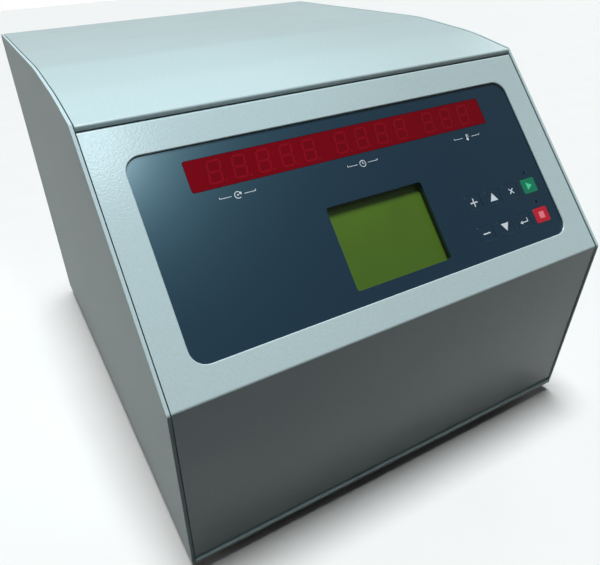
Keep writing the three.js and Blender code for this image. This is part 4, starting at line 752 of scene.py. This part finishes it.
def makeMotor():
    low, high, radius, bore = motor["low"], motor["high"], motor["radius"], motor["bore"]
    root, half = radius - motor["groove"], motor["pitch"] / 4
    section = [(0, low), (radius, low)]
    for i in range(motor["grooves"]):
        z = low + motor["pitch"] * (i + 1)
        section += [(radius, z - half), (root, z - half), (root, z + half), (radius, z + half)]
    section += [
        (radius, motor["flangeLow"]), (motor["flange"], motor["flangeLow"]),
        (motor["flange"], motor["flangeHigh"]), (radius, motor["flangeHigh"]),
        (radius - motor["shoulder"], high), (motor["nose"], high),
        (motor["nose"], motor["noseHigh"]), (bore, motor["noseHigh"]),
        (bore, motor["boreLow"]), (0, motor["boreLow"]),
    ]
    bm = turnedPiece(section)
    softenEdges(bm, motor["edge"], above=15)
    standIn("drive_motor", bm)
    nuts = bmesh.new()
    for turn in motor["studs"]:
        place = at(0, chamberY, turn) @ at(motor["ring"], 0, z=motor["flangeHigh"])
        addPart(nuts, disc(motor["nut"], 0, motor["nutRise"], sides=6), place)
        addPart(nuts, disc(motor["stud"], 0, motor["studRise"]), place)
    softenEdges(nuts, motor["nutEdge"], above=40)
    finishPiece("motorNuts", nuts, "cabinet", screwSteel)


# Dampers: rubber cores with a waist, bonded to a steel plate at each end
damper = {"low": 80.3, "high": 100.3, "radius": 14, "waist": 10, "plate": 1.6, "plateEdge": 0.3, "steps": 12}


def makeDampers():
    plates = bmesh.new()
    low, high = damper["low"] + damper["plate"], damper["high"] - damper["plate"]
    for number, turn in enumerate(motor["studs"], 1):
        angle = math.radians(turn)
        x, y = motor["ring"] * math.cos(angle), chamberY + motor["ring"] * math.sin(angle)
        side = []
        for i in range(damper["steps"] + 1):
            share = i / damper["steps"]
            bulge = (2 * share - 1) ** 2
            radius = damper["waist"] + (damper["radius"] - damper["waist"]) * bulge
            side.append((radius, low + (high - low) * share))
        standIn("motor_damper_" + str(number), turnedPiece([(0, low), *side, (0, high)], (x, y), steps=48))
        for level in (damper["low"], high):
            addPart(plates, disc(damper["radius"], level, level + damper["plate"], sides=48), at(x, y))
    softenEdges(plates, damper["plateEdge"], above=40)
    finishPiece("damperPlates", plates, "cabinet", zincSteel)


# Boot: a rubber bellows with a lip over the hole in the bowl
boot = {"low": 124.3, "neckLow": 148.2, "inner": 17.3, "wall": 2, "fold": 4, "folds": 2, "foldSteps": 12,
        "neck": 24.7, "lipLow": 152.3, "lipHigh": 154.8, "lip": 28.7, "edge": 0.4}


def makeShaftBoot():
    steps = boot["folds"] * boot["foldSteps"]
    wave = []
    for i in range(steps + 1):
        rise = boot["fold"] * (0.5 - 0.5 * math.cos(math.tau * boot["folds"] * i / steps))
        wave.append((boot["inner"] + rise, boot["low"] + (boot["neckLow"] - boot["low"]) * i / steps))
    outer = [(radius + boot["wall"], z) for radius, z in wave]
    lip = [
        (boot["neck"], boot["neckLow"]), (boot["neck"], boot["lipLow"]), (boot["lip"], boot["lipLow"]),
        (boot["lip"], boot["lipHigh"]), (boot["neck"] - boot["wall"], boot["lipHigh"]),
    ]
    bm = turnedPiece(outer + lip + wave[::-1] + outer[:1], steps=72)
    softenEdges(bm, boot["edge"], above=50)
    standIn("shaft_boot", bm)


# Shaft and nut: the yoke sits on the shaft's collar and taper, and the nut is turned by hand
shaft = {"section": ((0, 116.4), (8, 116.4), (8, 200.7), (13, 205.7), (13, 213.7), (8, 213.7), (7, 245),
                     (5, 250), (5, 266.5), (0, 266.5)), "edge": 0.4}
nut = {"low": 258.3, "high": 275.3, "radius": 17, "grooves": 12, "groove": 1.6, "sides": 144, "edge": 1.2,
       "cap": 11.5, "capRise": 1.4, "capEdge": 0.8, "capSunk": 1}


def makeShaftAndNut():
    bm = turnedPiece(shaft["section"], steps=64)
    softenEdges(bm, shaft["edge"], above=25)
    standIn("drive_shaft", bm)

    shoulder = nut["high"] - nut["capRise"]
    bm = disc(nut["radius"], nut["low"], shoulder, nut["sides"])
    pitch = math.tau / nut["grooves"]
    for vert in bm.verts:
        angle = math.atan2(vert.co.y, vert.co.x)
        away = nut["radius"] * ((angle + pitch / 2) % pitch - pitch / 2)
        if abs(away) < nut["groove"]:
            radius = nut["radius"] - math.sqrt(nut["groove"] ** 2 - away ** 2)
            vert.co.x, vert.co.y = radius * math.cos(angle), radius * math.sin(angle)
    softenEdges(bm, nut["edge"], segments=3, where=lambda end: end.z > shoulder - hair)
    cap = disc(nut["cap"], shoulder - nut["capSunk"], nut["high"], sides=64)
    softenEdges(cap, nut["capEdge"], segments=3, above=50)
    addPart(bm, cap)
    standIn("rotor_nut", moved(bm, at(0, chamberY)), sharpAbove=30)


upright = Matrix.Rotation(math.pi / 2, 4, "X")      # turns a shape's own z to -y and its y to z
outward = Matrix.Rotation(-math.pi / 2, 4, "X")     # turns a shape's own z to +y, out of the rear panel
crosswise = Matrix.Rotation(math.pi / 2, 4, "Y")    # turns a shape's own z to +x

# Yoke: a turned hub with four milled arms, a pocket in each, and the buckets' pins between them
yoke = {"hub": ((8.3, 214), (15, 214), (21, 232), (21, 248), (15, 258), (7.3, 258), (7.3, 245), (8.3, 214)),
        "columns": ((12.6, 13), (21, 13), (58.8, 18), (84, 18)), "low": 232, "high": 248, "hubEdge": 0.6,
        "armEdge": 1.1, "pocketEdge": 4.5, "pocketWall": 0.8, "pocketDepth": 2.2, "rib": (10.5, 66),
        "ribFoot": 15, "ribLow": 214, "ribHigh": 237, "ribHalf": 4, "ribEdge": 0.6, "pivot": 240,
        "pinRing": 68, "pin": 4, "pinNear": 26.8, "pinFar": 46, "pinEdge": 0.5}


def yokeArm():
    part = bmesh.new()
    last = len(yoke["columns"]) - 1
    bmesh.ops.create_grid(part, x_segments=last, y_segments=1, size=0.5)
    for vert in part.verts:
        x, half = yoke["columns"][round((vert.co.x + 0.5) * last)]
        vert.co = (x, math.copysign(half, vert.co.y), yoke["low"])
    raised = bmesh.ops.extrude_face_region(part, geom=part.faces[:])["geom"]
    top = [item for item in raised if isinstance(item, bmesh.types.BMFace)]
    lifted = [item for item in raised if isinstance(item, bmesh.types.BMVert)]
    bmesh.ops.translate(part, vec=(0, 0, yoke["high"] - yoke["low"]), verts=lifted)
    bmesh.ops.recalc_face_normals(part, faces=part.faces)
    bmesh.ops.inset_region(part, faces=top, thickness=yoke["pocketEdge"])
    bmesh.ops.inset_region(part, faces=top, thickness=yoke["pocketWall"], depth=-yoke["pocketDepth"])
    softenEdges(part, yoke["armEdge"], segments=3, above=60)
    return part


def yokeRib():
    near, far = yoke["rib"]
    middle = (near + far) / 2
    part = plate(far - near, 2 * yoke["ribHalf"], yoke["ribLow"], yoke["ribHigh"])
    bmesh.ops.translate(part, vec=(middle, 0, 0), verts=part.verts)
    for vert in part.verts:
        if vert.co.z < yoke["ribHigh"] - hair and vert.co.x > middle:
            vert.co.x = yoke["ribFoot"]
    softenEdges(part, yoke["ribEdge"], above=30)
    return part


def makeYoke():
    bm = turnedPiece(yoke["hub"], (0, 0), steps=72)
    softenEdges(bm, yoke["hubEdge"], above=20)
    for turn in (0, 90, 180, 270):
        addPart(bm, yokeArm(), at(0, 0, turn + 45))
        addPart(bm, yokeRib(), at(0, 0, turn + 45))
        for side in (0, 180):
            pin = disc(yoke["pin"], yoke["pinNear"], yoke["pinFar"])
            softenEdges(pin, yoke["pinEdge"], above=50)
            addPart(bm, pin, at(0, 0, turn) @ at(yoke["pinRing"], 0, side, yoke["pivot"]) @ upright)
    standIn("rotor_yoke", moved(bm, at(0, chamberY)))


# Buckets: deep-drawn cups that hang on the yoke's pins by two slotted ears
bucket = {"ring": 68, "pivot": 240, "radius": 24, "wall": 2, "top": 14, "depth": 76, "floor": 4, "round": 10,
          "rim": 26, "rimHeight": 4, "ear": 8, "earDrop": 7, "earInner": 23, "earStep": 26.2,
          "earOuter": 30.05, "slot": 4.3, "edge": 0.35}


def makeBuckets():
    low, high = bucket["pivot"] - bucket["depth"], bucket["pivot"] + bucket["top"]
    radius, wall, bend = bucket["radius"], bucket["wall"], bucket["round"]
    inner, innerBend = radius - wall, bend - wall
    floor, rimLow = low + bucket["floor"], high - bucket["rimHeight"]
    section = [
        (0, low), *quarterArc((radius - bend, low + bend), bend, -90, 0),
        (radius, rimLow - wall), (bucket["rim"], rimLow), (bucket["rim"], high), (inner, high),
        *quarterArc((inner - innerBend, floor + innerBend), innerBend, 0, -90), (0, floor),
    ]
    ear, drop, slot = bucket["ear"], bucket["earDrop"], bucket["slot"]
    near, step, outer = bucket["earInner"], bucket["earStep"], bucket["earOuter"]
    for i in range(4):
        bm = turnedPiece(section, (0, 0), steps=72)
        for turn in (0, 180):
            side = at(0, 0, turn, bucket["pivot"]) @ upright
            addPart(bm, plate(2 * ear, drop, near, step), side @ at(0, -drop / 2))
            addPart(bm, disc(ear, near, step, sides=48), side)
            addPart(bm, band((ear + slot) / 2, ear - slot, step, outer, sweep=180, steps=24), side)
            for x in (-1, 1):
                addPart(bm, plate(ear - slot, drop, step, outer), side @ at(x * (ear + slot) / 2, -drop / 2))
        softenEdges(bm, bucket["edge"], above=40)
        place = at(0, chamberY, 90 * i) @ at(bucket["ring"], 0)
        standIn("bucket_" + str(i + 1), moved(bm, place))


# Guard ring: rolled plate round the bowl, which holds the rotor in if it breaks
guardRing = {"inner": 163.5, "outer": 169.5, "low": 137.3, "high": 315.2, "edge": 0.7}


def makeGuardRing():
    inner, outer, low, high = guardRing["inner"], guardRing["outer"], guardRing["low"], guardRing["high"]
    bm = turnedPiece([(inner, low), (outer, low), (outer, high), (inner, high), (inner, low)], steps=128)
    softenEdges(bm, guardRing["edge"], above=50)
    standIn("guard_ring", bm)


# Hinges: five round knuckles on a pin, the leaves screwed to the rear panel and to the lid
hinge = {"x": 120, "y": 258.31, "z": 326.8, "length": 70, "knuckles": 5, "radius": 3.5, "gap": 0.4,
         "leaf": 1.5, "corner": 1.2, "edge": 0.25, "fixedReach": 28, "lidReach": 20, "pin": 1.6,
         "pinOver": 1, "head": 2.8, "headHeight": 1.5, "headGap": 0.3, "pinEdge": 0.4,
         "screw": (3.1, 1.2), "screws": (-27, -9, 9, 27), "fixedScrewZ": -18, "lidScrewZ": 12.5}


def hingeLeaf(reach, away, first):
    bm = bmesh.new()
    low, high = -hinge["radius"], hinge["leaf"] - hinge["radius"]
    near = hinge["radius"] + hinge["gap"]
    flat = plate(hinge["length"], reach - near, low, high, corner=hinge["corner"])
    addPart(bm, flat, outward @ at(0, -away * (near + reach) / 2))
    pitch = hinge["length"] / hinge["knuckles"]
    for i in range(first, hinge["knuckles"], 2):
        left = -hinge["length"] / 2 + i * pitch + hinge["gap"] / 2
        right = left + pitch - hinge["gap"]
        addPart(bm, disc(hinge["radius"], left, right, sides=40), crosswise)
        web = plate(right - left, near + hinge["gap"], low, high)
        addPart(bm, web, outward @ at((left + right) / 2, -away * near / 2))
    softenEdges(bm, hinge["edge"], above=40)
    return bm


def makeHinges():
    half = hinge["length"] / 2
    headLow = half + hinge["headGap"]
    face = hinge["y"] - hinge["radius"] + hinge["leaf"]
    for side, x in (("left", -hinge["x"]), ("right", hinge["x"])):
        place = Matrix.Translation((x, hinge["y"], hinge["z"]))
        pin = bmesh.new()
        addPart(pin, disc(hinge["pin"], -half, half + hinge["pinOver"], sides=24), crosswise)
        addPart(pin, disc(hinge["head"], headLow, headLow + hinge["headHeight"]), crosswise)
        softenEdges(pin, hinge["pinEdge"], segments=3, above=50)
        leaves = (
            ("hinge_fixed_leaf_" + side,
             hingeLeaf(hinge["fixedReach"], away=-1, first=0), hinge["fixedScrewZ"]),
            ("hinge_lid_leaf_" + side,
             hingeLeaf(hinge["lidReach"], away=1, first=1), hinge["lidScrewZ"]),
        )
        for node, leaf, rise in leaves:
            standIn(node, moved(leaf, place))
            places = [(x + step, face, hinge["z"] + rise) for step in hinge["screws"]]
            screwSet(plainName(node) + "Screws", bodyOf[node], places, (0, 1, 0), hinge["screw"])
        standIn("hinge_pin_" + side, moved(pin, place))


# Fan guard: three wire rings welded to two crossed wires, with an eye and a screw at each corner
guard = {"place": (-108, 255.91, 78), "wire": 1.1, "wireSides": 12, "rings": (42, 31, 20), "reach": 55.6,
         "corner": 41.25, "eye": 3.2, "screw": (3.4, 1.6)}


def wireRing(radius, steps=96):
    angles = [math.tau * i / guard["wireSides"] for i in range(guard["wireSides"] + 1)]
    circle = [(radius + guard["wire"] * math.cos(a), guard["wire"] * math.sin(a)) for a in angles]
    return turnedPiece(circle, (0, 0), steps)


def makeFanGuard():
    middleX, faceY, middleZ = guard["place"]
    front = Matrix.Translation(guard["place"]) @ outward
    bm = bmesh.new()
    for radius in guard["rings"]:
        addPart(bm, wireRing(radius), front)
    for turn in (45, 135):
        wire = disc(guard["wire"], -guard["reach"], guard["reach"], sides=16)
        addPart(bm, wire, front @ at(0, 0, turn) @ crosswise)
    sides = (-guard["corner"], guard["corner"])
    corners = [(x, z) for x in sides for z in sides]
    for x, z in corners:
        addPart(bm, wireRing(guard["eye"], steps=32), front @ at(x, z))
    standIn("fan_guard", bm)
    places = [(middleX + x, faceY + guard["wire"], middleZ + z) for x, z in corners]
    screwSet("fanScrews", "cabinet", places, (0, 1, 0), guard["screw"])


# Rear fittings: pins of the mains inlet, marks on the rocker, and the rear panel's own screws
inlet = {"x": 122, "z": 72, "pins": ((-7, -1), (0, 4), (7, -1)), "pin": (2.15, 4.15), "corner": 0.4,
         "edge": 0.3, "low": 241.3, "high": 252.4, "screwX": 17, "screwY": 257.31, "screw": (2.3, 1.0)}
rocker = {"place": (66, 254.51, 72), "tip": -9, "slope": 9.64, "markY": 2.62, "markZ": 5.3, "line": 0.9,
          "stroke": 5, "circle": 2.3, "sunk": 0.1, "rise": 0.04}
rearPanel = {"face": 254.51, "low": 21.5, "lowX": (-180, -60, 50, 180), "high": 311, "highX": (-180, 0, 180),
             "screw": (3.3, 1.7)}


def makeRearFittings():
    pins = bmesh.new()
    for x, z in inlet["pins"]:
        blade = plate(*inlet["pin"], inlet["low"], inlet["high"], corner=inlet["corner"], steps=2)
        addPart(pins, blade, Matrix.Translation((inlet["x"] + x, 0, inlet["z"] + z)) @ outward)
    softenEdges(pins, inlet["edge"], above=50)
    finishPiece("inletPins", pins, "cabinet", brassPins)
    places = [(inlet["x"] + side * inlet["screwX"], inlet["screwY"], inlet["z"]) for side in (-1, 1)]
    screwSet("inletScrews", "cabinet", places, (0, 1, 0), inlet["screw"])

    marks = bmesh.new()
    tipped = Matrix.Translation(rocker["place"]) @ Matrix.Rotation(math.radians(rocker["tip"]), 4, "X")
    levels = -rocker["sunk"], rocker["rise"]
    bar = plate(rocker["line"], rocker["stroke"], *levels)
    circle = band(rocker["circle"], rocker["line"], *levels, sweep=360, steps=40)
    for side, mark in ((1, bar), (-1, circle)):
        lean = Matrix.Rotation(math.radians(-side * rocker["slope"]), 4, "X")
        spot = Matrix.Translation((0, rocker["markY"], side * rocker["markZ"]))
        addPart(marks, mark, tipped @ spot @ lean @ outward)
    finishPiece("rockerMarks", marks, "power_rocker", whiteInk)

    places = [(x, rearPanel["face"], rearPanel["low"]) for x in rearPanel["lowX"]]
    places += [(x, rearPanel["face"], rearPanel["high"]) for x in rearPanel["highX"]]
    screwSet("rearPanelScrews", "cabinet", places, (0, 1, 0), rearPanel["screw"])


makeCamera()
refineNodes()
makeFrontPanel()
makeLidShell()
makeKeys()
makeDisplay()
makeSigns()
makeIndicators()
print("the console is made")
makeChamber()
makeFeet()
makeMotor()
makeDampers()
makeShaftBoot()
makeShaftAndNut()
makeYoke()
makeBuckets()
makeGuardRing()
print("turned pieces are made")
makeHinges()
makeFanGuard()
makeRearFittings()
print("the rear is fitted")


# Studio: a pale floor, a white room whose upper part is dark in mirror images, and soft plain light

studio = {
    "overhead": {"kind": "SUN", "energy": 3.55, "angle": 19, "from": (0.0, 0.02, 1.0),
                 "colour": (0.97, 1.0, 1.01)},
    "rearFill": {"kind": "SUN", "energy": 0.6, "angle": 25, "from": (1.0, 0.55, 0.2),
                 "colour": (0.98, 0.99, 1.0)},
    "sideFill": {"kind": "AREA", "energy": 2.2, "size": 0.9, "place": (-1.5, -0.1, 0.35),
                 "aim": (-0.2, 0, 0.17), "colour": (1.0, 0.84, 0.78)},
    "glint": {"kind": "SPOT", "energy": 16, "radius": 0.07, "cone": 21, "place": (0.03, -0.79, 1.66),
              "aim": (-0.17, -0.08, 0.34), "colour": (0.72, 0.90, 1.0)},
}
room = {"diffuse": 0.025, "horizon": 1.0, "above": 0.14, "fade": (-0.02, 0.16)}
paleFloor = {"colour": "#F4F4F2", "roughness": 0.9, "half": 6, "seen": ("#E7E7E6", "#E3E3E2"), "mottle": 12.0,
             "bounce": "#252524"}


def addLight(name, values):
    data = bpy.data.lights.new(name, values["kind"])
    data.energy = values["energy"]
    data.color = values["colour"]
    light = addObject(name, data)
    if values["kind"] == "SUN":
        data.angle = math.radians(values["angle"])
        light.matrix_world = facing(values["from"])
        return
    if values["kind"] == "SPOT":
        data.shadow_soft_size = values["radius"]
        data.spot_size = math.radians(values["cone"])
        data.spot_blend = 1.0
    else:
        data.size = values["size"]
    place = Vector(values["place"])
    light.matrix_world = Matrix.Translation(place) @ facing(place - Vector(values["aim"]))


# The floor looks pale to the camera and in mirrors, but throws only a little light back on the object
def makeFloor():
    bm = bmesh.new()
    bmesh.ops.create_grid(bm, x_segments=8, y_segments=8, size=paleFloor["half"])
    mesh = bpy.data.meshes.new("floor")
    bm.to_mesh(mesh)
    bm.free()
    inputs = {"Roughness": paleFloor["roughness"]}
    material, place, _ = newMaterial("pale studio floor", paleFloor["colour"], (), inputs)
    mottle = addNode(material, "TexNoise", {"Vector": place, "Scale": paleFloor["mottle"]}).outputs["Fac"]
    bounced = addNode(material, "LightPath").outputs["Is Diffuse Ray"]
    first, second, dim = map(linear, (*paleFloor["seen"], paleFloor["bounce"]))
    pale = addNode(material, "Mix", {0: mottle, 6: first, 7: second}, data_type="RGBA").outputs[2]
    shade = addNode(material, "Mix", {0: bounced, 6: pale, 7: dim}, data_type="RGBA").outputs[2]
    shader = material.node_tree.nodes["Principled BSDF"]
    material.node_tree.links.new(shade, shader.inputs["Base Color"])
    mesh.materials.append(material)
    addObject("floor", mesh)


def makeRoom():
    world = bpy.data.worlds.new("white room")
    bpy.context.scene.world = world
    world.use_nodes = True
    seen = addNode(world, "LightPath").outputs
    mirrored = addNode(world, "Math", {0: seen["Is Glossy Ray"], 1: seen["Is Transmission Ray"]},
                       operation="MAXIMUM").outputs["Value"]
    direction = addNode(world, "TexCoord").outputs["Generated"]
    height = addNode(world, "SeparateXYZ", {"Vector": direction}).outputs["Z"]
    shown = addNode(world, "MapRange", {
        "Value": height, "From Min": room["fade"][0], "From Max": room["fade"][1],
        "To Min": room["horizon"], "To Max": room["above"],
    }, interpolation_type="SMOOTHSTEP").outputs["Result"]
    inside = addNode(world, "MapRange", {"Value": mirrored, "To Min": room["diffuse"], "To Max": shown})
    level = addNode(world, "MapRange", {
        "Value": seen["Is Camera Ray"], "To Min": inside.outputs["Result"], "To Max": room["horizon"],
    }).outputs["Result"]
    backdrop = world.node_tree.nodes["Background"]
    world.node_tree.links.new(level, backdrop.inputs["Strength"])
    backdrop.inputs["Color"].default_value = (1, 1, 1, 1)


def makeStudio():
    makeRoom()
    for name, values in studio.items():
        addLight(name, values)
    makeFloor()
    bpy.context.scene.view_settings.view_transform = "Standard"
    print("the studio is lit")


makeStudio()
